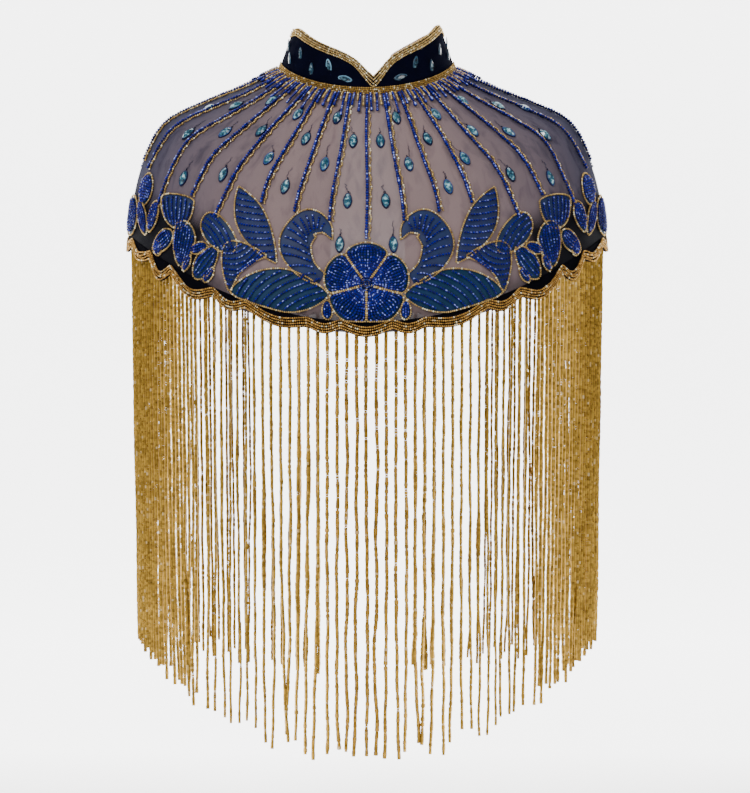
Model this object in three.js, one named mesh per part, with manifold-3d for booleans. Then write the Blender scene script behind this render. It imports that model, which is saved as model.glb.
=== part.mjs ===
// Beaded fringe cape: a sheer net yoke with beaded leaves, a stand collar, a scalloped hem and bead fringe.
// Lengths are millimetres and +Z is up. The wearer faces -Y, and the origin is the centre of the neck ring.
import * as THREE from "three";
import { mergeVertices } from "three/addons/utils/BufferGeometryUtils.js";
import Module from "manifold-3d";

const wasm = await Module();
wasm.setup();

// Cloth
const CLOTH_DEPTH = 231;
const CLOTH_THICK = 2;
const SEAM_GAP = 0.3;
const FACET_ALLOWANCE = 0.3;
const NECK_SEAM = 0.8;
const YOKE_COLUMNS = 26;
const BACK_COLUMNS = 12;
const YOKE_ROWS = 8;

// How the worn cloth lies, for each length of cloth below the neck seam, and how each ring falls to the front
const SECTIONS = [
  { down: 0, sideX: 79, sideZ: 0, frontY: 65, frontZ: -34, backY: 58, backZ: 2 },
  { down: 38.5, sideX: 113.7, sideZ: -17.1, frontY: 85.5, frontZ: -64.8, backY: 77, backZ: -31.5 },
  { down: 77, sideX: 149.2, sideZ: -32.2, frontY: 104.3, frontZ: -98.5, backY: 93, backZ: -66.5 },
  { down: 115.5, sideX: 182.3, sideZ: -51.2, frontY: 121.2, frontZ: -133.3, backY: 105, backZ: -103 },
  { down: 154, sideX: 200.1, sideZ: -85.3, frontY: 134.3, frontZ: -169.7, backY: 114, backZ: -140.5 },
  { down: 192.5, sideX: 209.9, sideZ: -122.5, frontY: 143.1, frontZ: -207.2, backY: 120, backZ: -178.5 },
  { down: 231, sideX: 214, sideZ: -161, frontY: 150, frontZ: -245, backY: 123, backZ: -217 },
  { down: 269.5, sideX: 216.5, sideZ: -199.5, frontY: 155, frontZ: -283, backY: 125, backZ: -255 },
];

const RING_POWER = [
  { down: 0, power: 1.2 },
  { down: 38.5, power: 1.5 },
  { down: 77, power: 1.8 },
  { down: 115.5, power: 2 },
  { down: 269.5, power: 2 },
];

// Centre back opening: half its width at the neck, and how much wider it falls at the hem
const OPENING_NECK = 24;
const OPENING_FLARE = 16;

// Border motifs are laid out on the flat cloth, in millimetres across from centre front and up from the hem
const FRONT_BORDER_WIDTH = 296;
const BACK_BORDER_WIDTH = 272;

// Hem band
const HEM_TOP = 10;
const HEM_THICK = 1.4;
const HEM_BEAD_ROWS = 3;
const HEM_BEAD_LIFT = 1;
const HEM_GROUND = 4;
const HEM_SHOULDER = 0.4;
const LOBE_STEPS = 4;
const LOBE_ROUNDNESS = 0.8;
const LOBES = [
  { end: 21, cusp: 4, drop: 5.5 },
  { end: 48, cusp: 2.5, drop: 4 },
  { end: 102, cusp: 4, drop: 5.5 },
  { end: 134, cusp: 2.5, drop: 6 },
  { end: 183, cusp: 2.5, drop: 10 },
  { end: 214, cusp: 3.5, drop: 11 },
  { end: 254, cusp: 3, drop: 7 },
  { end: 296, cusp: 3, drop: 7 },
];
const BACK_LOBES = 5;
const BACK_LOBE_CUSP = 3;
const BACK_LOBE_DROP = 7;

// Collar
const COLLAR_THICK = 1.8;
const COLLAR_LEAN = 0.0045;
const COLLAR_COLUMNS = 16;
const COLLAR_CLOSER = 1.4;
const COLLAR_BEAD_ROWS = 3;
const BAND_HEIGHT = 6.5;
const BAND_THICK = 1.6;
const BAND_OUT = 0.6;
const EDGE_WIDTH = 7.5;
const EDGE_BASE = 0.5;
const EDGE_LIFT = 1;
const LINING_THICK = 1;
const LINING_DROP = 4;
const COLLAR_MEET = 0.05;
const COLLAR_TOP = [
  { across: 0, height: 16.5 },
  { across: 0.055, height: 22.5 },
  { across: 0.12, height: 29.5 },
  { across: 0.19, height: 34.2 },
  { across: 0.3, height: 38 },
  { across: 0.5, height: 40.5 },
  { across: 0.72, height: 42 },
  { across: 0.85, height: 41.5 },
  { across: 1, height: 36 },
  { across: 1.23, height: 36 },
  { across: 1.36, height: 34.2 },
  { across: 1.53, height: 30 },
  { across: 1.68, height: 25 },
  { across: 1.8, height: 19 },
];
const COLLAR_STONE = { length: 11, width: 5, lift: 1.6 };
const COLLAR_STONES = [
  { across: 0.22, height: 13, turn: 1.3 },
  { across: 0.37, height: 22, turn: 0.2 },
  { across: 0.525, height: 14, turn: -0.1 },
  { across: 0.69, height: 23, turn: 0 },
  { across: 0.82, height: 14, turn: 0.1 },
  { across: 0.94, height: 22, turn: 0.1 },
  { across: 1.12, height: 21, turn: 0 },
  { across: 1.32, height: 14, turn: 0.1 },
  { across: 1.5, height: 14, turn: -0.1 },
];

// Raised bead work on the net
const APPLIQUE_LIFT = 1.4;
const APPLIQUE_CROWN = 0.6;
const APPLIQUE_ROOT = 1.1;
const CROWNED_FROM = 20;
const BORDER_FOOT = HEM_TOP + SEAM_GAP + 2 * FACET_ALLOWANCE;
const LEAVES = [
  { name: "hem leaf", base: [34, 33], tip: [116, 13.5], width: 33, bend: 5, peak: 0.5, blunt: 0.6, steps: 5 },
  { name: "bud", base: [31.5, 10.8], tip: [32, 27], width: 8.6, peak: 0.4, blunt: 0.5, steps: 3 },
  { name: "upright leaf", base: [84, 56], tip: [126, 101], width: 31, peak: 0.5, blunt: 0.7, steps: 4 },
  { name: "arc leaf", base: [118, 13], tip: [87, 54], width: 21, bend: -15, peak: 0.5, blunt: 0.6, steps: 4 },
  { name: "round leaf", base: [116, 50], tip: [155, 63], width: 27, peak: 0.6, blunt: 0.4, steps: 4 },
  { name: "fallen leaf", base: [155, 11], tip: [134, 45], width: 15, peak: 0.45, blunt: 0.6, steps: 4 },
  { name: "small leaf", base: [144, 11.5], tip: [135, 27], width: 7, peak: 0.5, blunt: 0.6, steps: 2 },
  { name: "seed", base: [168, 11.5], tip: [161, 28], width: 7, peak: 0.5, blunt: 0.6, steps: 2 },
  { name: "berry", base: [162, 31], tip: [145, 43], width: 9, peak: 0.5, blunt: 0.5, steps: 3 },
  { name: "lower tulip", base: [172, 14], tip: [171, 53], width: 26, peak: 0.7, blunt: 0.5, steps: 4 },
  { name: "upper tulip", base: [183, 44], tip: [188, 74], width: 44, peak: 0.6, blunt: 0.4, steps: 4 },
  { name: "coin", base: [203, 11.5], tip: [203, 24], width: 12, peak: 0.5, blunt: 0.5, steps: 3 },
  { name: "heart leaf", base: [209, 13], tip: [186, 38], width: 15, peak: 0.6, blunt: 0.5, steps: 3 },
  { name: "slim leaf", base: [220, 26], tip: [214, 55], width: 16, peak: 0.6, blunt: 0.6, steps: 3 },
  { name: "side leaf", base: [224, 22], tip: [248, 46], width: 15, peak: 0.5, blunt: 0.6, steps: 3 },
  { name: "side oval", base: [240, 47], tip: [240, 75], width: 24, peak: 0.5, blunt: 0.5, steps: 4 },
  { name: "side fan", base: [264, 12], tip: [266, 47], width: 38, peak: 0.45, blunt: 0.45, steps: 4 },
];
const BACK_LEAVES_FROM = 80;
const BACK_LEAVES_WIDER = 12;
const SCROLL = [
  { across: 50, up: 43, half: 15 },
  { across: 59, up: 60, half: 16 },
  { across: 61, up: 74, half: 15.5 },
  { across: 57, up: 86, half: 13.5 },
  { across: 47, up: 93, half: 10 },
  { across: 36, up: 90, half: 6 },
  { across: 29.5, up: 80, half: 1 },
];
const FLOWER = { up: 43.5, radius: 33, petals: 5, start: 1.8, width: 31, peak: 0.66, blunt: 0.6, steps: 4 };

// Crystals: the space between two bead lines that holds each, and how far below the neck it lies
const LINE_SPACING = 0.1125;
const STONE_LENGTH = 13.6;
const STONE_WIDTH = 6.8;
const STONE_LIFT = 2.4;
const STONE_BELLY = 1.25;
const STONE_TIP = 0.15;
const STONES = [
  { space: 0.55, down: 55 },
  { space: 0.55, down: 115 },
  { space: 0.7, down: 155 },
  { space: 1.45, down: 31 },
  { space: 1.45, down: 82 },
  { space: 2.45, down: 60 },
  { space: 2.45, down: 113 },
  { space: 3.4, down: 36 },
  { space: 3.35, down: 92 },
  { space: 4.3, down: 68 },
  { space: 4.35, down: 125 },
  { space: 5.25, down: 32 },
  { space: 5.25, down: 88 },
  { space: 5.7, down: 146 },
  { space: 6.4, down: 57 },
  { space: 6.45, down: 110 },
  { space: 7.2, down: 76 },
];
const BACK_STONE_SPACES = [9.5, 10.5, 11.5, 12.5, 13.5, 14.5, 15.5];
const BACK_STONE_DOWNS = [60, 90];

// Fringe
const FRINGE_LENGTH = 351;
const FRINGE_UNEVEN = 4.5;
const FRINGE_WAVES = [1.7, 0.61];
const FRINGE_INWARD = 10;
const STRAND_RADIUS = 1.3;
const FRINGE_FRONT = 37;
const FRINGE_BACK = 39;
const FRINGE_END_MARGIN = 3;
const ROOT_TOP = 8.6;
const ROOT_BOTTOM = 6;
const ROOT_THICK = 2.8;
const ROOT_COLUMNS = 16;

// Bead drops that hang over the yoke from the collar seam
const DROP_RADIUS = 1;
const DROP_COLUMNS = 9;
const DROP_STRIP_THICK = 2.4;
const DROP_SHORT = 9;
const DROP_LONG = 22;
const DROP_START = 1.2;
const DROP_STRIP = 3.4;
const DROP_SIDE_MARGIN = 0.005;
const DROP_END_MARGIN = 0.02;
const DROP_SWING = 0.6;
const FRONT_DROPS = 3;
const BACK_DROPS = 2;
const DROP_LIFT = 0.5;

// Hook and eye
const HOOK = { length: 9, width: 4, wire: 0.9, bend: 2.2, sewn: 5 };
const EYE = { length: 8, width: 6.5, hole: 3.6, thick: 0.9, sewn: 4 };
const FASTENER_OFF = 0.2;
const END_PROBE = 0.05;

const { clamp, lerp } = THREE.MathUtils;

// A smooth curve through one column of a table, by its key column
function smooth(table, key, column, at) {
  const last = table.length - 1;
  let i = 0;
  while (i < last - 1 && at > table[i + 1][key]) i += 1;
  const slope = (k) => {
    const low = table[Math.max(k - 1, 0)];
    const high = table[Math.min(k + 1, last)];
    return (high[column] - low[column]) / (high[key] - low[key]);
  };
  const step = table[i + 1][key] - table[i][key];
  const t = clamp((at - table[i][key]) / step, 0, 1);
  const a = table[i][column];
  const b = table[i + 1][column];
  const rise = t * t * (3 - 2 * t);
  return a + (b - a) * rise + step * (t * (1 - t) * (1 - t) * slope(i) - t * t * (1 - t) * slope(i + 1));
}

// The worn ring of cloth at one depth, by its angle from the centre front
function ringPoint(angle, down) {
  const side = Math.sin(angle);
  const ahead = Math.cos(angle);
  const sideZ = smooth(SECTIONS, "down", "sideZ", down);
  const edge = ahead > 0 ? "front" : "back";
  const depth = smooth(SECTIONS, "down", edge + "Y", down);
  const drop = smooth(SECTIONS, "down", edge + "Z", down) - sideZ;
  const power = smooth(RING_POWER, "down", "power", down);
  return new THREE.Vector3(
    smooth(SECTIONS, "down", "sideX", down) * side,
    -depth * ahead,
    sideZ + drop * Math.abs(ahead) ** power,
  );
}

// Lengths along the front and the back quarter of a ring, kept for each depth
const RING_STEPS = 40;
const ringTables = new Map();
function ringTable(down) {
  if (ringTables.has(down)) return ringTables.get(down);
  const quarters = [0, 1].map((quarter) => {
    const lengths = [0];
    let from = ringPoint((quarter * Math.PI) / 2, down);
    for (let i = 1; i <= RING_STEPS; i += 1) {
      const to = ringPoint(((quarter + i / RING_STEPS) * Math.PI) / 2, down);
      lengths.push(lengths[i - 1] + to.distanceTo(from));
      from = to;
    }
    return lengths;
  });
  ringTables.set(down, quarters);
  return quarters;
}

function quarterLength(quarter, down) {
  return ringTable(down)[quarter][RING_STEPS];
}

// A place on the cloth: across counts quarters of the ring, from centre front round to centre back
function onRing(across, down) {
  const share = Math.abs(across);
  const quarter = share < 1 ? 0 : 1;
  const lengths = ringTable(down)[quarter];
  const along = (share - quarter) * lengths[RING_STEPS];
  let i = 1;
  while (i < RING_STEPS && lengths[i] < along) i += 1;
  const part = (along - lengths[i - 1]) / (lengths[i] - lengths[i - 1]);
  const angle = ((quarter + (i - 1 + part) / RING_STEPS) * Math.PI) / 2;
  return ringPoint(Math.sign(across || 1) * angle, down);
}

// The same place, moved out from the cloth's face
const PROBE = 0.004;
function outward(across, down) {
  const alongRing = onRing(across + PROBE, down).sub(onRing(across - PROBE, down));
  const start = Math.max(down, 1);
  const downCloth = onRing(across, start + 1).sub(onRing(across, start - 1));
  return downCloth.cross(alongRing).normalize();
}

function onCloth(across, down, lift = 0) {
  return onRing(across, down).addScaledVector(outward(across, down), lift);
}

// A place on the flat border, measured across from centre front and up from the hem
function borderAcross(mm) {
  const size = Math.abs(mm);
  const beyond = size - FRONT_BORDER_WIDTH;
  const share = beyond < 0 ? size / FRONT_BORDER_WIDTH : 1 + beyond / BACK_BORDER_WIDTH;
  return Math.sign(mm || 1) * share;
}

function onBorder(mm, up, lift = 0) {
  return onCloth(borderAcross(mm), CLOTH_DEPTH - up, lift);
}

// Where the cloth ends beside the opening at centre back
function backEdge(down) {
  const half = OPENING_NECK + (OPENING_FLARE * down) / CLOTH_DEPTH;
  return 2 - half / quarterLength(1, down);
}

function seamShare(quarter, down) {
  return SEAM_GAP / 2 / quarterLength(quarter, down);
}

// A closed body through sections of equal count
function loft(sections) {
  const count = sections[0].length;
  const positions = sections.flat().flatMap((p) => [p.x, p.y, p.z]);
  const faces = [];
  const quad = (a, b, c, d) => faces.push([a, b, c], [a, c, d]);
  for (let s = 0; s + 1 < sections.length; s += 1) {
    for (let k = 0; k < count; k += 1) {
      const next = (k + 1) % count;
      quad(s * count + k, s * count + next, (s + 1) * count + next, (s + 1) * count + k);
    }
  }
  const end = (sections.length - 1) * count;
  capFaces(sections[0]).forEach(([a, b, c]) => faces.push([a, c, b]));
  capFaces(sections.at(-1)).forEach(([a, b, c]) => faces.push([end + a, end + b, end + c]));
  const geometry = new THREE.BufferGeometry();
  geometry.setAttribute("position", new THREE.Float32BufferAttribute(positions, 3));
  geometry.setIndex(faces.flat());
  return volumeOf(geometry) < 0 ? turned(geometry) : geometry;
}

// Fills an end section: a long thin wall's by joining each point to its opposite, a ridged strip's from its two
// inner corners, and any other's in its plane
const LONG_WALL = 9;
const RIDGED_STRIP = 7;
function capFaces(section) {
  const last = section.length - 1;
  if (section.length > LONG_WALL) {
    const ladder = [];
    for (let k = 0; k < last / 2 - 1; k += 1) {
      ladder.push([k, k + 1, last - k - 1], [k, last - k - 1, last - k]);
    }
    return ladder;
  }
  if (section.length >= RIDGED_STRIP) {
    const middle = Math.floor((last - 1) / 2);
    const fan = [[middle, last - 1, last]];
    for (let k = 0; k < last - 2; k += 1) fan.push([k, k + 1, k < middle ? last : last - 1]);
    return fan;
  }
  const area = new THREE.Vector3();
  section.forEach((point, k) => area.add(point.clone().cross(section[(k + 1) % section.length])));
  const normal = area.normalize();
  const axis = Math.abs(normal.z) < 0.9 ? new THREE.Vector3(0, 0, 1) : new THREE.Vector3(1, 0, 0);
  const u = axis.cross(normal).normalize();
  const v = normal.clone().cross(u);
  const flat = section.map((point) => new THREE.Vector2(point.dot(u), point.dot(v)));
  return THREE.ShapeUtils.triangulateShape(flat, []).map(([a, b, c]) =>
    THREE.ShapeUtils.area([flat[a], flat[b], flat[c]]) < 0 ? [a, c, b] : [a, b, c],
  );
}

function volumeOf(geometry) {
  const at = geometry.getAttribute("position");
  const index = geometry.getIndex().array;
  const corner = (i) => new THREE.Vector3().fromBufferAttribute(at, index[i]);
  let volume = 0;
  for (let i = 0; i < index.length; i += 3) {
    volume += corner(i).dot(corner(i + 1).cross(corner(i + 2))) / 6;
  }
  return volume;
}

function turned(geometry) {
  const index = geometry.getIndex().array;
  for (let i = 0; i < index.length; i += 3) {
    [index[i + 1], index[i + 2]] = [index[i + 2], index[i + 1]];
  }
  return geometry;
}

// Joins bodies that share material into one
function joined(geometries) {
  const solids = geometries.map((source) => {
    const plain = new THREE.BufferGeometry();
    plain.setAttribute("position", source.getAttribute("position"));
    if (source.getIndex()) plain.setIndex(source.getIndex());
    const merged = mergeVertices(plain);
    return new wasm.Manifold(
      new wasm.Mesh({
        numProp: 3,
        vertProperties: new Float32Array(merged.getAttribute("position").array),
        triVerts: new Uint32Array(merged.getIndex().array),
      }),
    );
  });
  const whole = solids.slice(1).reduce((sum, solid) => sum.add(solid), solids[0]).getMesh();
  const geometry = new THREE.BufferGeometry();
  geometry.setAttribute("position", new THREE.Float32BufferAttribute(whole.vertProperties, 3));
  geometry.setIndex(new THREE.Uint32BufferAttribute(whole.triVerts, 1));
  return geometry;
}

const COLOURS = {
  net: { color: 0xa8979b, roughness: 0.8, metalness: 0 },
  velvet: { color: 0x0b1030, roughness: 0.95, metalness: 0 },
  lining: { color: 0xc79d7c, roughness: 0.85, metalness: 0 },
  gold: { color: 0xc9a24a, roughness: 0.35, metalness: 0.8 },
  hem: { color: 0x12131c, roughness: 0.8, metalness: 0 },
  steel: { color: 0x9a9da3, roughness: 0.3, metalness: 1 },
};

const cape = new THREE.Group();
function addPiece(name, finish, geometry) {
  geometry.computeVertexNormals();
  const mesh = new THREE.Mesh(geometry, new THREE.MeshStandardMaterial(COLOURS[finish]));
  mesh.name = name;
  cape.add(mesh);
  return mesh;
}

// One cloth panel: a wall of even thickness between two edges, from the neck seam down to the hem band
function panelWall(columns, acrossAt) {
  const length = CLOTH_DEPTH - HEM_TOP - SEAM_GAP - FACET_ALLOWANCE;
  const sections = [];
  for (let c = 0; c <= columns; c += 1) {
    const outer = [];
    const inner = [];
    for (let r = 0; r <= YOKE_ROWS; r += 1) {
      const down = lerp(NECK_SEAM, length, r / YOKE_ROWS);
      const across = acrossAt(c / columns, down);
      outer.push(onCloth(across, down));
      inner.unshift(onCloth(across, down, -CLOTH_THICK));
    }
    sections.push([...outer, ...inner]);
  }
  return loft(sections);
}

// A raised plate on the cloth, whose root sinks into the wall and whose foot is trimmed along the hem band
function plate(stations, side) {
  const place = (at, lift) => onBorder(side(at.x), Math.max(at.y, BORDER_FOOT), lift);
  const wide = Math.max(...stations.map(({ left, right }) => left.distanceTo(right))) > CROWNED_FROM;
  return loft(
    stations.map(({ left, middle, right }) => [
      place(left, APPLIQUE_LIFT),
      ...(wide ? [place(middle, APPLIQUE_LIFT + APPLIQUE_CROWN)] : []),
      place(right, APPLIQUE_LIFT),
      place(right, -APPLIQUE_ROOT),
      ...(wide ? [place(middle, -APPLIQUE_ROOT)] : []),
      place(left, -APPLIQUE_ROOT),
    ]),
  );
}

// Stations of a leaf along its bent middle line, widest at its peak
const POINT_SHARE = 0.07;
function leafStations({ base, tip, width, bend = 0, peak, blunt, steps }) {
  const run = new THREE.Vector2(tip[0] - base[0], tip[1] - base[1]);
  const across = new THREE.Vector2(-run.y, run.x).normalize();
  const stations = [];
  for (let s = 0; s <= steps; s += 1) {
    const t = s / steps;
    const sway = bend * 4 * t * (1 - t);
    const middle = new THREE.Vector2(...base).addScaledVector(run, t).addScaledVector(across, sway);
    const swell = t < peak ? t / peak / 2 : 0.5 + (t - peak) / (1 - peak) / 2;
    const half = (width / 2) * Math.max(Math.sin(Math.PI * swell) ** blunt, POINT_SHARE);
    stations.push({
      left: middle.clone().addScaledVector(across, half),
      middle,
      right: middle.clone().addScaledVector(across, -half),
    });
  }
  return stations;
}

function scrollStations() {
  return SCROLL.map((row, i) => {
    const before = SCROLL[Math.max(i - 1, 0)];
    const after = SCROLL[Math.min(i + 1, SCROLL.length - 1)];
    const run = new THREE.Vector2(after.across - before.across, after.up - before.up).normalize();
    const across = new THREE.Vector2(-run.y, run.x);
    const middle = new THREE.Vector2(row.across, row.up);
    return {
      left: middle.clone().addScaledVector(across, row.half),
      middle,
      right: middle.clone().addScaledVector(across, -row.half),
    };
  });
}

function flowerPlates() {
  const petals = [];
  for (let p = 0; p < FLOWER.petals; p += 1) {
    const angle = Math.PI / 2 + (2 * Math.PI * p) / FLOWER.petals;
    const along = (reach) => [Math.cos(angle) * reach, FLOWER.up + Math.sin(angle) * reach];
    const row = { ...FLOWER, base: along(FLOWER.start), tip: along(FLOWER.radius) };
    petals.push(plate(leafStations(row), (mm) => mm));
  }
  return petals;
}

// A crystal in its setting, pointed along the cloth's fall
function stone(across, down) {
  const quarter = Math.abs(across) < 1 ? 0 : 1;
  const half = STONE_WIDTH / 2 / quarterLength(quarter, down);
  const section = (along, share) => [
    onCloth(across - half * share, down + along, -APPLIQUE_ROOT),
    onCloth(across, down + along, lerp(0, STONE_LIFT, share)),
    onCloth(across + half * share, down + along, -APPLIQUE_ROOT),
  ];
  const end = STONE_LENGTH / 2;
  return loft([section(-end, STONE_TIP), section(0, STONE_BELLY), section(end, STONE_TIP)]);
}

// Front panel with its leaves, flower and crystals raised in its outer face
const frontStones = STONES.flatMap(({ space, down }) =>
  [-1, 1].map((side) => stone(side * space * LINE_SPACING, down)),
);
const frontLeaves = [-1, 1].flatMap((side) =>
  [...LEAVES.map(leafStations), scrollStations()].map((stations) => plate(stations, (mm) => side * mm)),
);
addPiece(
  "yoke_front",
  "net",
  joined([
    panelWall(YOKE_COLUMNS, (share, down) => (2 * share - 1) * (1 - seamShare(0, down))),
    ...flowerPlates(),
    ...frontLeaves,
    ...frontStones,
  ]),
);

// Back panels: the border runs on past the side seam, turned about it, up to the opening
for (const [name, side] of [["left", 1], ["right", -1]]) {
  const turnedOver = (mm) => side * (2 * FRONT_BORDER_WIDTH - mm);
  const leaves = LEAVES.filter((row) => row.base[0] > BACK_LEAVES_FROM && row.width > BACK_LEAVES_WIDER);
  const stones = BACK_STONE_SPACES.map((space, i) =>
    stone(side * space * LINE_SPACING, BACK_STONE_DOWNS[i % 2]),
  );
  const acrossAt = (share, down) => {
    const from = 1 + seamShare(1, down);
    return side * lerp(from, backEdge(down), share);
  };
  addPiece(
    "yoke_back_" + name,
    "net",
    joined([
      panelWall(BACK_COLUMNS, acrossAt),
      ...leaves.map((row) => plate(leafStations(row), turnedOver)),
      ...stones,
    ]),
  );
}

// The scalloped lower edge of the hem band: how far up it lies at each place across
const backHemWidth = BACK_BORDER_WIDTH * (backEdge(CLOTH_DEPTH) - 1);
const allLobes = [...LOBES];
for (let i = 1; i <= BACK_LOBES; i += 1) {
  const end = FRONT_BORDER_WIDTH + (backHemWidth * i) / BACK_LOBES;
  allLobes.push({ end, cusp: BACK_LOBE_CUSP, drop: BACK_LOBE_DROP });
}

function hemUp(mm) {
  const size = Math.abs(mm);
  const i = Math.max(allLobes.findIndex((lobe) => size <= lobe.end + 1e-6), 0);
  const lobe = allLobes[i];
  const start = i === 0 ? -lobe.end : allLobes[i - 1].end;
  const startCusp = i === 0 ? lobe.cusp : allLobes[i - 1].cusp;
  const t = (size - start) / (lobe.end - start);
  return lerp(startCusp, lobe.cusp, t) - lobe.drop * Math.sin(Math.PI * clamp(t, 0, 1)) ** LOBE_ROUNDNESS;
}

// Bead rows as ridges over a strip: the share down the strip and the lift of each point of its outer face
function ridged(rows, lift) {
  const points = [{ share: 0, lift: 0 }];
  for (let r = 0; r < rows; r += 1) {
    points.push({ share: (r + 0.5) / rows, lift });
    points.push({ share: (r + 1) / rows, lift: 0 });
  }
  return points;
}

// A stretch of hem band from one place across to another, with columns at every cusp
function hemBand(from, to) {
  const stops = allLobes.flatMap((lobe, i) => {
    const start = i === 0 ? 0 : allLobes[i - 1].end;
    const steps = i === 0 ? LOBE_STEPS / 2 : LOBE_STEPS;
    return Array.from({ length: steps }, (_, s) => lerp(start, lobe.end, (s + 1) / steps));
  });
  const all = [...stops.map((mm) => -mm).reverse(), 0, ...stops];
  const between = all.filter((mm) => mm > from + 1 && mm < to - 1);
  return loft(
    [from, ...between, to].map((mm) => {
      const bottom = hemUp(mm);
      const rowsTop = Math.min(bottom + HEM_TOP - HEM_GROUND, HEM_TOP - HEM_SHOULDER);
      const outer = ridged(HEM_BEAD_ROWS, HEM_BEAD_LIFT).map(({ share, lift }) =>
        onBorder(mm, share === 0 ? HEM_TOP : lerp(rowsTop, bottom, share), lift),
      );
      return [...outer, onBorder(mm, bottom, -HEM_THICK), onBorder(mm, HEM_TOP, -HEM_THICK)];
    }),
  );
}

const frontEnd = FRONT_BORDER_WIDTH - SEAM_GAP / 2;
const backStart = FRONT_BORDER_WIDTH + SEAM_GAP / 2;
const hemEnd = FRONT_BORDER_WIDTH + backHemWidth;
addPiece("hem_front", "hem", hemBand(-frontEnd, frontEnd));
addPiece("hem_back_left", "hem", hemBand(backStart, hemEnd));
addPiece("hem_back_right", "hem", hemBand(-hemEnd, -backStart));

// Collar: it rises from the neck ring and leans in as it rises
function onCollar(across, height, lift = 0) {
  const base = onRing(across, 0);
  const out = new THREE.Vector3(base.x, base.y, 0).normalize();
  const lean = 1 - COLLAR_LEAN * height;
  return new THREE.Vector3(base.x * lean, base.y * lean, base.z + height).addScaledVector(out, lift);
}

function collarTop(along) {
  return smooth(COLLAR_TOP, "across", "height", along);
}

const neckEnd = backEdge(0);
const frontCut = seamShare(0, 0);

// Columns along one wing, closer together beside the notch
function wingPlaces(side) {
  return Array.from({ length: COLLAR_COLUMNS + 1 }, (_, c) => {
    const reach = neckEnd - side * COLLAR_MEET;
    return side * lerp(frontCut, reach, (c / COLLAR_COLUMNS) ** COLLAR_CLOSER) + COLLAR_MEET;
  });
}

// A stretch of collar wall between two heights that follow the place along the wing, over a plain inside
function collarWall(side, low, high, face, inside) {
  return loft(
    wingPlaces(side).map((across) => {
      const along = Math.abs(across - COLLAR_MEET);
      const place = (height, lift) => onCollar(across, height, lift);
      const outer = face.map(({ share, lift }) => place(lerp(high(along), low(along), share), lift));
      return [...outer, place(low(along), inside), place(high(along), inside)];
    }),
  );
}

// A crystal sewn to the collar, turned from upright
function collarStone(side, { across, height, turn }) {
  const { length, width, lift } = COLLAR_STONE;
  const section = (along, share) =>
    [-1, 0, 1].map((beside) => {
      const sideways = (beside * share * width) / 2;
      const mm = along * Math.sin(turn) + sideways * Math.cos(turn);
      const up = along * Math.cos(turn) - sideways * Math.sin(turn);
      const place = side * (across + mm / quarterLength(0, 0)) + COLLAR_MEET;
      return onCollar(place, height + up, beside === 0 ? lift * share : -APPLIQUE_ROOT);
    });
  return loft([section(-length / 2, STONE_TIP), section(0, STONE_BELLY), section(length / 2, STONE_TIP)]);
}

const plainFace = (lift) => [0, 1].map((share) => ({ share, lift }));
const ridgedFace = (rows, base, lift) =>
  ridged(rows, lift).map((point) => ({ share: point.share, lift: base + point.lift }));

const edgeFace = ridgedFace(COLLAR_BEAD_ROWS, SEAM_GAP + EDGE_BASE, EDGE_LIFT);
for (const [name, side] of [["left", 1], ["right", -1]]) {
  const foot = BAND_HEIGHT + SEAM_GAP + FACET_ALLOWANCE;
  const underBand = () => foot;
  addPiece(
    "collar_" + name,
    "velvet",
    joined([
      collarWall(side, underBand, collarTop, plainFace(0), -COLLAR_THICK),
      ...COLLAR_STONES.map((row) => collarStone(side, row)),
    ]),
  );
  const liningOut = -COLLAR_THICK - SEAM_GAP;
  const liningTop = (along) => collarTop(along) - LINING_DROP;
  addPiece(
    "collar_lining_" + name,
    "lining",
    collarWall(side, underBand, liningTop, plainFace(liningOut), liningOut - LINING_THICK),
  );
  const edgeFoot = (along) => Math.max(collarTop(along) - EDGE_WIDTH, foot);
  addPiece(
    "collar_edge_" + name,
    "gold",
    collarWall(side, edgeFoot, collarTop, edgeFace, SEAM_GAP),
  );
}

// Beaded band over the collar seam, all in one round to the opening
const bandFoot = SEAM_GAP + FACET_ALLOWANCE;
const bandSections = [];
for (const across of [...wingPlaces(-1).reverse(), ...wingPlaces(1)]) {
  const outer = ridgedFace(COLLAR_BEAD_ROWS, BAND_OUT, EDGE_LIFT).map(({ share, lift }) =>
    onCollar(across, lerp(BAND_HEIGHT, bandFoot, share), lift),
  );
  const inner = [bandFoot, BAND_HEIGHT].map((height) => onCollar(across, height, -BAND_THICK));
  bandSections.push([...outer, ...inner]);
}
addPiece("collar_band", "gold", loft(bandSections));

// A bead strand: a slim three-sided rod between two points
function strand(from, to, radius, out) {
  const fall = to.clone().sub(from).normalize();
  const first = out.clone().addScaledVector(fall, -out.dot(fall)).normalize();
  const second = fall.clone().cross(first);
  const ring = (centre) =>
    [0, 1, 2].map((k) => {
      const turn = (2 * Math.PI * k) / 3;
      return centre
        .clone()
        .addScaledVector(first, -radius * Math.cos(turn))
        .addScaledVector(second, radius * Math.sin(turn));
    });
  return loft([ring(from), ring(to)]);
}

// Fringe: its roots are fused into a narrow strip behind the hem band, and the strands hang from it
function fringeLength(mm) {
  const wave = FRINGE_WAVES.reduce((sum, turns) => sum + Math.sin(mm * turns), 0);
  return FRINGE_LENGTH + FRINGE_UNEVEN * wave;
}

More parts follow.
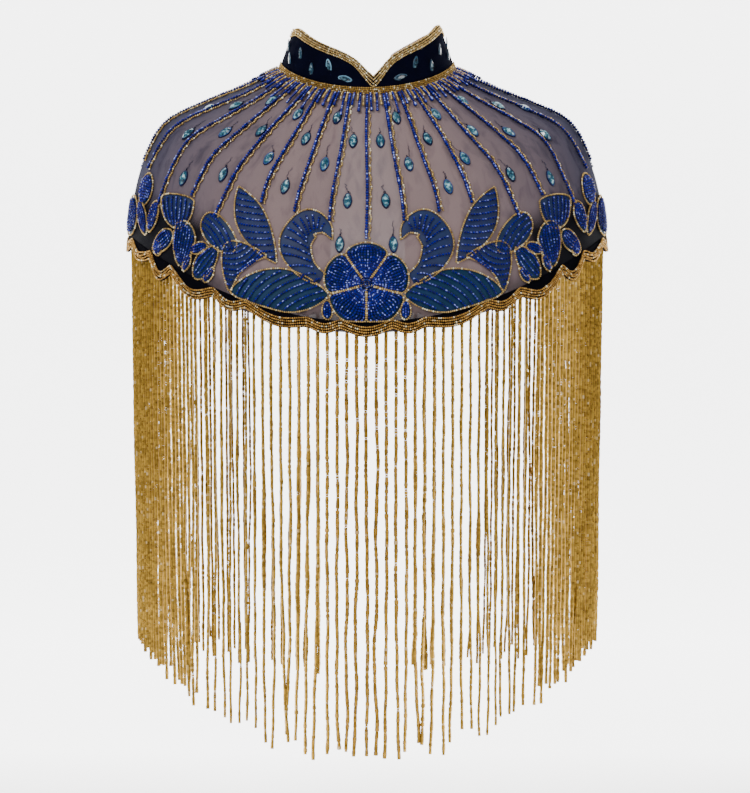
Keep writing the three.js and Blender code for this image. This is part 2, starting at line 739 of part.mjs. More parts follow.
function fringe(places, from, to) {
  const inside = -HEM_THICK - SEAM_GAP - FACET_ALLOWANCE / 2;
  const strip = [];
  for (let c = 0; c <= ROOT_COLUMNS; c += 1) {
    const mm = lerp(from, to, c / ROOT_COLUMNS);
    strip.push([
      onBorder(mm, ROOT_TOP, inside),
      onBorder(mm, ROOT_BOTTOM, inside),
      onBorder(mm, ROOT_BOTTOM, inside - ROOT_THICK),
      onBorder(mm, ROOT_TOP, inside - ROOT_THICK),
    ]);
  }
  const strands = places.map((mm) => {
    const root = onBorder(mm, (ROOT_TOP + ROOT_BOTTOM) / 2, inside - ROOT_THICK / 2);
    const out = new THREE.Vector3(root.x, root.y, 0).normalize();
    const inward = (FRINGE_INWARD * Math.abs(root.x)) / smooth(SECTIONS, "down", "sideX", CLOTH_DEPTH);
    const end = root.clone().addScaledVector(out, -inward);
    end.z -= fringeLength(mm);
    return strand(root, end, STRAND_RADIUS, out);
  });
  return joined([loft(strip), ...strands]);
}

function spread(count, from, to) {
  return Array.from({ length: count }, (_, i) => lerp(from, to, i / (count - 1)));
}

const frontReach = FRONT_BORDER_WIDTH - FRINGE_END_MARGIN;
const frontPlaces = spread(2 * FRINGE_FRONT + 1, -frontReach, frontReach);
const backPlaces = spread(FRINGE_BACK, FRONT_BORDER_WIDTH + FRINGE_END_MARGIN, hemEnd - FRINGE_END_MARGIN);
const mirroredPlaces = backPlaces.map((mm) => -mm);
addPiece("fringe_front", "gold", fringe(frontPlaces, -frontEnd, frontEnd));
addPiece("fringe_back_left", "gold", fringe(backPlaces, backStart, hemEnd));
addPiece("fringe_back_right", "gold", fringe(mirroredPlaces, -hemEnd, -backStart));

// Short bead drops between the bead lines, hung from a strip at the collar seam
function drops(from, to, aSpace) {
  const strip = [];
  const columns = Math.round((to - from) * DROP_COLUMNS);
  for (let c = 0; c <= columns; c += 1) {
    const across = lerp(from, to, c / columns);
    strip.push([
      onCloth(across, DROP_START, DROP_LIFT + DROP_STRIP_THICK),
      onCloth(across, DROP_STRIP, DROP_LIFT + DROP_STRIP_THICK),
      onCloth(across, DROP_STRIP, DROP_LIFT),
      onCloth(across, DROP_START, DROP_LIFT),
    ]);
  }
  const strands = [];
  const step = LINE_SPACING / aSpace;
  for (let k = Math.ceil(from / step); k * step < to; k += 1) {
    const across = k * step;
    const atEnd = Math.min(across - from, to - across) < DROP_END_MARGIN;
    if (k % aSpace === 0 || atEnd) continue;
    const length = k % 2 === 0 ? DROP_LONG : lerp(DROP_SHORT, DROP_LONG, Math.abs(Math.sin(k)));
    const root = onCloth(across, (DROP_START + DROP_STRIP) / 2, DROP_LIFT + DROP_STRIP_THICK / 2);
    const end = onCloth(across, length, DROP_LIFT + DROP_STRIP_THICK / 2 + DROP_SWING);
    strands.push(strand(root, end, DROP_RADIUS, outward(across, length / 2)));
  }
  return joined([loft(strip), ...strands]);
}

const dropEnd = neckEnd - DROP_END_MARGIN;
const dropSide = 1 + DROP_SIDE_MARGIN;
addPiece("drops_front", "gold", drops(DROP_SIDE_MARGIN - 1, 1 - DROP_SIDE_MARGIN, FRONT_DROPS));
addPiece("drops_back_left", "gold", drops(dropSide, dropEnd, BACK_DROPS));
addPiece("drops_back_right", "gold", drops(-dropEnd, -dropSide, BACK_DROPS));

// Hook and eye: flat pieces sewn inside the band, one on each side of the opening
function hookShape() {
  const { length, wire, bend } = HOOK;
  const shape = new THREE.Shape();
  shape.moveTo(0, 0);
  shape.lineTo(length, 0);
  shape.absarc(length, -bend / 2, bend / 2, Math.PI / 2, -Math.PI / 2, true);
  shape.lineTo(length - bend, -bend);
  shape.lineTo(length - bend, wire - bend);
  shape.lineTo(length, wire - bend);
  shape.absarc(length, -bend / 2, bend / 2 - wire, -Math.PI / 2, Math.PI / 2, false);
  shape.lineTo(0, -wire);
  shape.closePath();
  return new THREE.ExtrudeGeometry(shape, { depth: HOOK.width, bevelEnabled: false, curveSegments: 6 });
}

function eyeShape() {
  const { length, width, hole, thick } = EYE;
  const shape = new THREE.Shape();
  shape.moveTo(0, -width / 2);
  shape.lineTo(length - width / 2, -width / 2);
  shape.absarc(length - width / 2, 0, width / 2, -Math.PI / 2, Math.PI / 2, false);
  shape.lineTo(0, width / 2);
  shape.closePath();
  const opening = new THREE.Path();
  opening.absarc(length - width / 2, 0, hole / 2, 0, 2 * Math.PI, true);
  shape.holes.push(opening);
  return new THREE.ExtrudeGeometry(shape, { depth: thick, bevelEnabled: false, curveSegments: 8 });
}

// Seats a fastener on the band's inner face: its own x runs along the ring and past the band's end
function atOpening(mesh, side, sewn, yAxisUp, lowered) {
  const depth = -BAND_THICK - SEAM_GAP - FACET_ALLOWANCE;
  const end = onCollar(side * neckEnd, BAND_HEIGHT / 2, depth);
  const before = onCollar(side * (neckEnd - END_PROBE), BAND_HEIGHT / 2, depth);
  const above = onCollar(side * neckEnd, BAND_HEIGHT, depth);
  const along = end.clone().sub(before).normalize();
  const rise = above.sub(end);
  const up = rise.addScaledVector(along, -rise.dot(along)).normalize();
  const inward = up.clone().cross(along).multiplyScalar(side);
  const second = yAxisUp ? up : inward.clone().negate();
  const axes = new THREE.Matrix4().makeBasis(along, second, along.clone().cross(second));
  mesh.quaternion.setFromRotationMatrix(axes);
  mesh.position.copy(end).addScaledVector(along, -sewn);
  mesh.position.addScaledVector(inward, FASTENER_OFF).addScaledVector(up, -lowered);
}

atOpening(addPiece("hook", "steel", hookShape()), 1, HOOK.sewn, false, -HOOK.width / 2);
atOpening(addPiece("eye", "steel", eyeShape()), -1, EYE.sewn, true, 0);

export default cape;
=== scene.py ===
import bmesh
import bpy
import numpy as np
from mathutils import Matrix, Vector


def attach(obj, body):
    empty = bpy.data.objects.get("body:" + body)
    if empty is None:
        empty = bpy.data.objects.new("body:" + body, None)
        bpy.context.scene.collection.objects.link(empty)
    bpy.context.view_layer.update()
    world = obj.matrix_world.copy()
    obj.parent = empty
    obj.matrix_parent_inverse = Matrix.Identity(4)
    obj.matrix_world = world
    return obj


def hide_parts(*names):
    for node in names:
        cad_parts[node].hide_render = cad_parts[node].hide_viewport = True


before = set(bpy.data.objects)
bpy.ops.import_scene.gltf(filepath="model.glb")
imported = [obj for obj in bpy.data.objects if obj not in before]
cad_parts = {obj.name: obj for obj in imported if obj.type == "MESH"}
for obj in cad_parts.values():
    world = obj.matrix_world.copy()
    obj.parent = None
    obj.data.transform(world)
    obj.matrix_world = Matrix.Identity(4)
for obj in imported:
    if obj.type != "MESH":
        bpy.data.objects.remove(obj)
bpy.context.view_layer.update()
chance = np.random.default_rng(11)

# Yoke: a front and two backs of sheer mauve-grey silk net, cut on a curve and sewn together at the sides.
# It hangs over the shoulders from the neck seam, in soft folds, and is open at centre back.
MM = 0.001
CLOTH_DEPTH = 231
SECTIONS = {
    "down": [0, 38.5, 77, 115.5, 154, 192.5, 231, 269.5],
    "side_x": [79, 113.7, 149.2, 182.3, 200.1, 209.9, 214, 216.5],
    "side_z": [0, -17.1, -32.2, -51.2, -85.3, -122.5, -161, -199.5],
    "front_y": [65, 85.5, 104.3, 121.2, 134.3, 143.1, 150, 155],
    "front_z": [-34, -64.8, -98.5, -133.3, -169.7, -207.2, -245, -283],
    "back_y": [58, 77, 93, 105, 114, 120, 123, 125],
    "back_z": [2, -31.5, -66.5, -103, -140.5, -178.5, -217, -255],
}
RING_POWER = {"down": [0, 38.5, 77, 115.5, 269.5], "power": [1.2, 1.5, 1.8, 2, 2]}
# Folds in the worn net, placed in quarters of the ring from centre front
FOLDS = [
    # across, top, bottom, width, lift, lean
    (-0.93, 70, 235, 0.035, 1.6, 0.03),
    (-0.8, 95, 215, 0.03, -1.3, 0.05),
    (-0.66, 60, 230, 0.045, 1.5, -0.03),
    (-0.52, 110, 200, 0.025, -0.9, 0.04),
    (-0.37, 120, 190, 0.03, 0.8, 0.02),
    (0.3, 125, 190, 0.03, 0.7, -0.02),
    (0.44, 100, 205, 0.03, -1, -0.04),
    (0.6, 70, 235, 0.04, 1.3, 0.03),
    (0.73, 85, 215, 0.03, -1.4, -0.05),
    (0.9, 65, 240, 0.04, 1.7, -0.02),
    (1.12, 60, 235, 0.05, 2.2, 0.03),
    (1.33, 80, 240, 0.04, -1.6, -0.02),
    (1.6, 50, 240, 0.05, 2.4, 0.02),
    (-1.1, 65, 240, 0.05, 2, -0.03),
    (-1.3, 70, 225, 0.045, -1.8, 0.02),
    (-1.52, 55, 240, 0.05, 2.5, -0.02),
    (-1.7, 90, 235, 0.04, 1.8, 0.03),
]


def smooth(table, column, at):
    """A smooth curve through one column of a table, by its first column."""
    keys = np.array(table[next(iter(table))], float)
    values = np.array(table[column], float)
    order = np.arange(len(keys))
    low, high = np.maximum(order - 1, 0), np.minimum(order + 1, len(keys) - 1)
    slope = (values[high] - values[low]) / (keys[high] - keys[low])
    i = np.clip(np.searchsorted(keys, at) - 1, 0, len(keys) - 2)
    step = keys[i + 1] - keys[i]
    t = np.clip((at - keys[i]) / step, 0, 1)
    rise = t * t * (3 - 2 * t)
    bend = t * (1 - t) * (1 - t) * slope[i] - t * t * (1 - t) * slope[i + 1]
    return values[i] + (values[i + 1] - values[i]) * rise + step * bend


def ring_point(angle, down):
    """The worn ring of cloth at one depth, by its angle from centre front."""
    ahead = np.cos(angle)
    side_z = smooth(SECTIONS, "side_z", down)
    depth = np.where(ahead > 0, smooth(SECTIONS, "front_y", down), smooth(SECTIONS, "back_y", down))
    edge_z = np.where(ahead > 0, smooth(SECTIONS, "front_z", down), smooth(SECTIONS, "back_z", down))
    fall = (edge_z - side_z) * np.abs(ahead) ** smooth(RING_POWER, "power", down)
    return np.stack([smooth(SECTIONS, "side_x", down) * np.sin(angle), -depth * ahead, side_z + fall], -1)


# How long the front and the back quarter of the ring are at each depth
quarter_lengths = ([], [])


def directed(vectors):
    """The vectors, each made one long."""
    return vectors / np.linalg.norm(vectors, axis=-1, keepdims=True)


def half_ring(down, shares):
    """Half a ring, from centre front to centre back, at even shares of each quarter's length."""
    halves = []
    for quarter, until in ((0, 1), (1, 2.1)):  # the last share, 2, is in the back quarter
        angles = (quarter + np.linspace(0, 1, 161)) * np.pi / 2
        steps = np.linalg.norm(np.diff(ring_point(angles, down), axis=0), axis=1)
        lengths = np.r_[0, np.cumsum(steps)]
        within = shares[(shares >= quarter) & (shares < until)] - quarter
        quarter_lengths[quarter].append(lengths[-1])
        halves.append(ring_point(np.interp(within * lengths[-1], lengths, angles), down))
    return np.concatenate(halves)


def outward(places):
    """The outward directions over a grid of places on the cloth."""
    down_cloth, along_ring = np.gradient(places, axis=1), np.gradient(places, axis=0)
    return directed(np.cross(down_cloth, along_ring))


GRID_SHARES = np.linspace(0, 2, 801)
GRID_DOWNS = np.arange(0, 250.0)
half = np.stack([half_ring(np.array(down), GRID_SHARES) for down in GRID_DOWNS], 1)
form = np.concatenate([half[:0:-1] * [-1, 1, 1], half])
shares, downs = np.meshgrid(np.linspace(-2, 2, len(form)), GRID_DOWNS, indexing="ij")
folds = np.zeros_like(shares)
for across, top, bottom, width, lift, lean in FOLDS:
    run = np.clip((downs - top) / (bottom - top), 0, 1)
    folds += lift * np.sin(np.pi * run**0.8) * np.exp(-(((shares - across - lean * run) / width) ** 2))
form += outward(form) * folds[..., None]
form = np.concatenate([form, outward(form)], -1)


def on_cloth(across, down, lift=0.0):
    """Places on the worn cloth moved out by lift, and the cloth's outward directions there."""
    across, down, lift = np.broadcast_arrays(np.asarray(across, float), down, lift)
    a = np.clip((across + 2) / 4 * (len(form) - 1), 0, len(form) - 1.001)
    d = np.clip(down, 0, GRID_DOWNS[-1] - 0.001)
    i, j = a.astype(int), d.astype(int)
    u, v = (a - i)[..., None], (d - j)[..., None]
    here = form[i, j] * (1 - u) + form[i + 1, j] * u
    below = form[i, j + 1] * (1 - u) + form[i + 1, j + 1] * u
    at = here * (1 - v) + below * v
    out = directed(at[..., 3:])
    return at[..., :3] + out * lift[..., None], out


def quarter_length(across, down):
    """The length of the quarter of the ring that each place lies in."""
    front, back = (np.interp(down, GRID_DOWNS, lengths) for lengths in quarter_lengths)
    return np.where(np.abs(across) < 1, front, back)


NECK_GAP, HEM_GAP = 24, 40


def back_edge(down):
    """Where the cloth ends beside the opening at centre back, which widens from the neck to the hem."""
    gap = NECK_GAP + (HEM_GAP - NECK_GAP) * np.asarray(down) / CLOTH_DEPTH
    return 2 - gap / np.interp(down, GRID_DOWNS, quarter_lengths[1])


def added(name, data):
    """A new object in the scene."""
    made = bpy.data.objects.new(name, data)
    bpy.context.collection.objects.link(made)
    return made


def piece_mesh(name, shape):
    """An object from a bmesh shape."""
    mesh = bpy.data.meshes.new(name)
    shape.to_mesh(mesh)
    shape.free()
    return added(name, mesh)


def set_values(mesh, name, values):
    """Keeps a value for each vertex, for the material to read."""
    mesh.attributes.new(name, "FLOAT", "POINT").data.foreach_set("value", values)


def cloth_piece(name, columns, rows, place, thick):
    """A shell of cloth: a grid laid on the form by place(share across, share down), thickened inwards."""
    shape = bmesh.new()
    bmesh.ops.create_grid(shape, x_segments=columns, y_segments=rows, size=0.5)
    piece = piece_mesh(name, shape)
    mesh = piece.data
    flat = np.empty((len(mesh.vertices), 3))
    mesh.vertices.foreach_get("co", flat.ravel())
    flat = flat[:, :2] + 0.5
    places, out, cloth = place(flat[:, 0], flat[:, 1])
    for label, share in zip(("grid_x", "grid_y"), flat.T):
        set_values(mesh, label, share)
    mesh.vertices.foreach_set("co", (places * MM).ravel())
    mesh.update()
    corners = np.empty(len(mesh.loops), int)
    mesh.loops.foreach_get("vertex_index", corners)
    mesh.uv_layers.new(name="cloth").data.foreach_set("uv", (cloth[corners] * MM).ravel())
    first = mesh.polygons[0]
    if np.dot(first.normal, out[first.vertices[0]]) < 0:
        mesh.flip_normals()
    mesh.shade_smooth()
    if thick:
        wall = piece.modifiers.new("thickness", "SOLIDIFY")
        wall.thickness = thick * MM
        wall.offset = -1
    return piece


class Field:
    """A number in a shader: arithmetic on it adds the nodes."""

    def __init__(self, tree, socket):
        self.tree, self.socket = tree, socket

    def math(self, operation, *values):
        node = self.tree.nodes.new("ShaderNodeMath")
        node.operation = operation
        for slot, value in zip(node.inputs, values):
            if isinstance(value, Field):
                self.tree.links.new(value.socket, slot)
            else:
                slot.default_value = value
        return Field(self.tree, node.outputs[0])

    def through(self, operation):
        return self.math(operation, self)

    def clamped(self):
        return self.math("MAXIMUM", self, 0.0)

    def below(self, limit, soft):
        """1 below the limit and 0 above it, with a soft step between."""
        step = 0.5 + (limit - self) / soft
        return step.math("MINIMUM", step, 1.0).clamped()


# Plain arithmetic, with the field before or behind the sign
SIGNS = {"add": "ADD", "sub": "SUBTRACT", "mul": "MULTIPLY", "truediv": "DIVIDE", "pow": "POWER"}
for sign, operation in SIGNS.items():
    before = lambda self, other, operation=operation: self.math(operation, self, other)
    behind = lambda self, other, operation=operation: self.math(operation, other, self)
    setattr(Field, f"__{sign}__", before)
    setattr(Field, f"__r{sign}__", behind)


class Finish:
    """A procedural material: its fields, its mixes and any other node."""

    def __init__(self, name, roughness=0.8, metallic=0.0, **constants):
        self.material = bpy.data.materials.new(name)
        self.material.use_nodes = True
        self.tree = self.material.node_tree
        self.surface = self.tree.nodes["Principled BSDF"]
        self.surface.inputs["Roughness"].default_value = roughness
        self.surface.inputs["Metallic"].default_value = metallic
        for key, value in constants.items():
            self.surface.inputs[key.replace("_", " ")].default_value = value

    def node(self, kind, settings=(), inputs=()):
        node = self.tree.nodes.new("ShaderNode" + kind)
        for key, value in dict(settings).items():
            setattr(node, key, value)
        for key, value in dict(inputs).items():
            self.feed(node.inputs[key], value)
        return node

    def feed(self, slot, value):
        socket = value.socket if isinstance(value, Field) else value
        if isinstance(socket, bpy.types.NodeSocket):
            self.tree.links.new(socket, slot)
        else:
            slot.default_value = socket

    def set(self, **values):
        for key, value in values.items():
            self.feed(self.surface.inputs[key.replace("_", " ")], value)

    def attribute(self, name):
        return Field(self.tree, self.node("Attribute", {"attribute_name": name}).outputs["Fac"])

    def place(self):
        return self.node("TexCoord").outputs["Object"]

    def cloth(self):
        parts = self.node("SeparateXYZ", (), {"Vector": self.node("UVMap", {"uv_map": "cloth"}).outputs[0]})
        return Field(self.tree, parts.outputs[0]), Field(self.tree, parts.outputs[1])

    def noise(self, scale, detail=3.0, vector=None, **inputs):
        source = vector or self.place()
        made = self.node("TexNoise", (), {"Vector": source, "Scale": scale, "Detail": detail, **inputs})
        return Field(self.tree, made.outputs["Fac"])

    def mix(self, share, first, second):
        node = self.node("Mix", {"data_type": "RGBA"})
        for index, value in ((0, share), (6, first), (7, second)):
            self.feed(node.inputs[index], (*value, 1.0) if isinstance(value, tuple) else value)
        return node.outputs[2]

    def colour(self, share, first, second, roughness):
        """A colour between two by a share, and how rough it is."""
        self.set(Base_Color=self.mix(share, first, second), Roughness=roughness)

    def bump(self, height, strength, depth):
        made = self.node("Bump", (), {"Height": height, "Strength": strength, "Distance": depth * MM})
        self.set(Normal=made.outputs[0])


def finished(piece, finish, slot, *nodes):
    """Gives a piece its material and its place on the frame."""
    piece.data.materials.append(finish.material)
    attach(piece, "root")
    if nodes:
        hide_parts(*nodes)
    return piece


# The border's length from centre front to a side seam, and from there to centre back
FRONT_BORDER, BACK_BORDER = 296, 272
NET_THICK, NET_END = 0.35, CLOTH_DEPTH - 2
CUT_RADIUS = 140
THREADS = 900.0

net = Finish("sheer net", roughness=0.8, Specular_IOR_Level=0.12)
u, v = net.cloth()
threads = []
for way in (u + v, u - v):
    cell = (way * THREADS).through("FRACT")
    threads.append((cell - 0.5).through("ABSOLUTE").below(0.16, 0.1))
thread = threads[0].math("MAXIMUM", *threads)
blotch = net.noise(26.0, 4.0)
wisp = net.noise(9.0, 5.0, Distortion=1.4)
shade = net.attribute("shade")
side = net.attribute("side")
grain = 0.86 + 0.28 * blotch
turn, drop = net.attribute("across"), net.attribute("down")
# Painted shade: dark streaks, from noise stretched down the net, where it creases and folds
streaks = net.node("CombineXYZ", (), {"X": turn * 26.0, "Y": drop * 9.0})
crease_shade_noise = net.noise(1.0, 5.0, streaks.outputs[0], Distortion=0.6)
# Painted shade: darker and bluer towards the sides, partly the net lying doubled there and partly painted
# shade where the form turns away
mauve = net.mix(side, (0.25, 0.18, 0.178), (0.01, 0.024, 0.07))
dusk = (((crease_shade_noise - 0.5) * 2.6).clamped() + 0.25 * wisp) * (0.5 + 0.7 * side)
wear_and_crease_shade = net.mix(dusk, mauve, (0.02, 0.018, 0.04))
net.set(Base_Color=net.mix(shade, wear_and_crease_shade, (0.003, 0.003, 0.006)))
sheer = (0.82 + 0.14 * side + 0.2 * thread) * grain.math("MINIMUM", grain, 1.0)
net.set(Alpha=sheer.math("MAXIMUM", sheer, shade))
net.bump(thread + 0.6 * blotch, 0.25, 0.25)


def net_place(across_at):
    """Lays a piece of the yoke on the form, and gives its cloth flat, as it is cut."""
    def place(x, y):
        down = y * NET_END
        across = across_at(x, down)
        places, out = on_cloth(across, down)
        radius = CUT_RADIUS + down
        turn = across * quarter_length(across, down) / radius
        return places, out, np.stack([radius * np.sin(turn), radius * np.cos(turn)], -1)

    return place


def border_across(mm):
    """Quarters of the ring, from millimetres along the border."""
    size = np.abs(mm)
    share = np.where(size < FRONT_BORDER, size / FRONT_BORDER, 1 + (size - FRONT_BORDER) / BACK_BORDER)
    return np.copysign(share, mm)


def on_border(mm, up, lift=0.0):
    """A place laid out on the flat border: millimetres from centre front and up from the hem."""
    return on_cloth(border_across(np.asarray(mm, float)), CLOTH_DEPTH - np.asarray(up, float), lift)


def ease(low, high, value):
    """0 at low and 1 at high, straight between them. Low may be the larger."""
    ends, shares = ((low, high), (0, 1)) if low < high else ((high, low), (1, 0))
    return np.interp(value, ends, shares)


def shade_net(piece, across_at):
    """How dark the ground is between the leaves, and how blue and dark the net is painted towards the sides:
    partly the net lying doubled there, partly painted shade where the form turns away.
    """
    mesh = piece.data
    grids = [mesh.attributes[key].data for key in ("grid_x", "grid_y")]
    grid_x, grid_y = (np.array([item.value for item in grid]) for grid in grids)
    down = grid_y * NET_END
    across = across_at(grid_x, down)
    mm, up = np.abs(across) * FRONT_BORDER, CLOTH_DEPTH - down
    side_ground = ease(142, 156, mm) * ease(66, 46, up + 0.12 * (mm - 200))
    foot_ground = ease(26, 13, up) * np.where(mm < 45, 0.8, 0.6)
    set_values(mesh, "shade", np.maximum(side_ground, foot_ground))
    # side: where the net is painted darker towards the sides, partly painted shade
    set_values(mesh, "side", ease(0.3, 1.0, np.abs(across)) * ease(2.0, 1.1, np.abs(across)))
    set_values(mesh, "across", across)
    set_values(mesh, "down", down / CLOTH_DEPTH)


HALF_SEAM = 0.15 / 300
front_across = lambda x, down: (2 * x - 1) * (1 - HALF_SEAM)
yoke_front = cloth_piece("yoke_front_net", 190, 70, net_place(front_across), NET_THICK)
shade_net(yoke_front, front_across)
finished(yoke_front, net, "net", "yoke_front")
for name, way in (("left", 1), ("right", -1)):
    back_across = lambda x, down, way=way: way * (1 + HALF_SEAM + x * (back_edge(down) - 1 - HALF_SEAM))
    yoke_back = cloth_piece("yoke_back_net_" + name, 80, 60, net_place(back_across), NET_THICK)
    shade_net(yoke_back, back_across)
    finished(yoke_back, net, "net", "yoke_back_" + name)

# Leaves and petals: patches of blue organza sewn to the net, with rows of royal blue beads inside and a line
# of small gold beads round each. The petals are worked solid, round a button of beads.
ORGANZA_LIFT, ORGANZA_CROWN = 0.6, 0.7
ROW_BEAD, ROW_PITCH = 2.65, 2.45
GOLD_BEAD, GOLD_PITCH = 1.95, 1.8
# How low the patches, the bead rows and the gold lines reach, just over the hem
PATCH_FOOT, ROW_FOOT, LINE_FOOT = 10.5, 11, 10.8
LEAVES = [
    # name, base, tip, width, bend, peak, blunt, angle of its rows or None for lengthwise, pitch, bow, ground
    ("hem leaf", (31, 32), (117, 13.5), 36, 5, 0.42, 0.72, -44, 5.4, 3, 0.95),
    ("bud", (31.5, 10.8), (32, 27), 8.6, 0, 0.4, 0.5, None, 2, 0, 1),
    ("upright leaf", (77, 50), (127, 102), 31, -1, 0.55, 0.85, -13, 5.2, -1.5, 0.3),
    ("arc leaf", (118, 13), (87, 54), 25, -17, 0.5, 0.65, -26, 4.4, -3.5, 0.45),
    ("round leaf", (116, 50), (155, 63), 27, 0, 0.6, 0.4, 33, 5.4, 4, 0.6),
    ("fallen leaf", (155, 11), (134, 45), 18, 0, 0.45, 0.6, None, 3.4, 0, 0.85),
    ("small leaf", (144, 11.5), (135, 27), 7, 0, 0.5, 0.6, None, 2, 0, 1),
    ("seed", (168, 11.5), (161, 28), 7, 0, 0.5, 0.6, None, 2, 0, 1),
    ("berry", (162, 31), (145, 43), 9, 0, 0.5, 0.5, None, 2, 0, 1),
    ("lower tulip", (172, 14), (171, 53), 26, 0, 0.7, 0.5, None, 3.2, 0, 0.9),
    ("upper tulip", (182, 43), (190, 70), 42, 0, 0.85, 0.42, None, 5.2, 0, 0.5),
    ("coin", (203, 11.5), (203, 24), 12, 0, 0.5, 0.5, None, 2, 0, 1),
    ("heart leaf", (209, 13), (186, 38), 15, 0, 0.6, 0.5, None, 2.1, 0, 1),
    ("slim leaf", (220, 26), (214, 55), 16, 0, 0.6, 0.6, None, 2.6, 0, 1),
    ("side leaf", (224, 22), (248, 46), 15, 0, 0.5, 0.6, None, 2.6, 0, 1),
    ("side oval", (241, 43), (241, 72), 24, 0, 0.5, 0.5, None, 2, 0, 1),
    ("side fan", (264, 12), (266, 47), 38, 0, 0.45, 0.45, None, 4.4, 0, 0.8),
]
SCROLL = {
    "step": [0, 1, 2, 3, 4, 5, 6, 7],
    "across": [36, 50.5, 60.5, 62, 54.5, 47, 36.5, 30],
    "up": [43.5, 51, 63.5, 74, 88, 92, 89, 79.5],
    "half": [5.5, 9.5, 14, 14, 13, 11, 6.2, 0.4],
}
# The scroll's bead rows, from the outer edge to the inner one
SCROLL_ROWS = {
    "from_across": [44, 55, 67, 74, 75, 74, 72, 68, 62, 56, 50, 43, 37],
    "from_up": [40, 43.5, 49.5, 59, 66, 74, 82, 89, 94, 97.5, 99, 98, 93],
    "to_across": [38, 41, 44, 46, 47, 49, 51, 51.5, 50.5, 49, 46.5, 44, 41],
    "to_up": [44, 48, 53, 57.5, 63, 68, 73, 76, 79, 82, 84.5, 86, 85.5],
}
PETALS, FLOWER_UP, PETAL_REACH, PETAL_WIDTH = 5, 42.3, 36, 35


def leaf_half(leaf, t):
    """Half a leaf's width at t. A petal also stays inside its fifth of the flower."""
    name, _, _, width, _, peak, blunt = leaf[:7]
    swell = np.where(t < peak, t / peak / 2, 0.5 + (t - peak) / (1 - peak) / 2)
    half_width = width / 2 * np.maximum(np.sin(np.pi * np.clip(swell, 0, 1)) ** blunt, 0.04)
    if name == "petal":
        reach = 2 + (PETAL_REACH - 2) * t
        half_width = np.minimum(half_width, reach * np.tan(np.pi / PETALS) - 0.5)
    return half_width


def leaf_point(leaf, t, s):
    """A flat place on a leaf: t runs from its base to its tip, and s from edge to edge."""
    _, base, tip, _, bend = leaf[:5]
    run = np.subtract(tip, base)
    beside = np.array([-run[1], run[0]]) / np.hypot(*run)
    offset = bend * 4 * t * (1 - t) + s * leaf_half(leaf, t)
    return np.asarray(base) + run * t[..., None] + beside * offset[..., None]


def scroll_point(t, s):
    """A flat place on the scroll: t runs along it, and s from edge to edge."""
    middle = lambda at: np.stack([smooth(SCROLL, "across", at), smooth(SCROLL, "up", at)], -1)
    at = t * 7
    run = directed(middle(at + 0.05) - middle(at - 0.05))
    beside = np.stack([-run[..., 1], run[..., 0]], -1)
    return middle(at) + beside * (s * smooth(SCROLL, "half", at))[..., None]


def leaf_rows(leaf):
    """The flat lines that its bead rows follow."""
    _, base, tip, width, bend, _, _, angle, pitch, bow, _ = leaf
    if angle is None:
        count = max(int((width - 2.6) / pitch), 1)
        places = (np.arange(count) + 0.5) / count * 2 - 1
        reflection_patches = 1 - 2.2 / width
        reach = lambda s: np.linspace(0.08 + 0.3 * abs(s) ** 3, 0.93 - 0.22 * abs(s) ** 3, 40)
        return [leaf_point(leaf, reach(s), np.full(40, s * reflection_patches)) for s in places]
    run = np.subtract(tip, base)
    beside = np.array([-run[1], run[0]]) / np.hypot(*run)
    way = np.array([np.cos(np.radians(angle)), np.sin(np.radians(angle))])
    over = np.array([-way[1], way[0]])
    middle = leaf_point(leaf, np.array(0.5), np.array(0.0))
    reach = np.hypot(*run) / 2 + width / 2
    lines = []
    for row in np.arange(-reach, reach, pitch):
        steps = np.linspace(-reach, reach, 300)
        bent = row + bow * (1 - (steps / (width * 0.6)) ** 2)
        points = middle + way * steps[:, None] + over * bent[:, None]
        t = (points - base) @ run / (run @ run)
        off = (points - base) @ beside - bend * 4 * t * (1 - t)
        inside = (t > 0.04) & (t < 0.96) & (np.abs(off) < leaf_half(leaf, t) - 2.0)
        if inside.sum() > 12:
            lines.append(points[inside])
    return lines


def strung(places, out, pitch):
    """Beads strung at even steps along a line on the cloth: their places, directions and outward ways."""
    lengths = np.r_[0, np.cumsum(np.linalg.norm(np.diff(places, axis=0), axis=1))]
    count = max(int(round(lengths[-1] / pitch)), 1)
    at = (np.arange(count) + 0.5) * lengths[-1] / count
    pick = lambda values, where: np.stack([np.interp(where, lengths, values[:, k]) for k in range(3)], -1)
    along = pick(places, at + 0.4) - pick(places, at - 0.4)
    along /= np.maximum(np.linalg.norm(along, axis=1, keepdims=True), 1e-9)
    return pick(places, at), along, pick(out, at)


def bead_shape(sides):
    """A round glass bead, its hole along Z, one across."""
    shape = bmesh.new()
    bmesh.ops.create_uvsphere(shape, u_segments=sides, v_segments=3, radius=0.5)
    return shape


def tube_shape(sides):
    shape = bmesh.new()
    bmesh.ops.create_cone(shape, cap_ends=True, segments=sides, radius1=0.5, radius2=0.5, depth=1)
    return shape


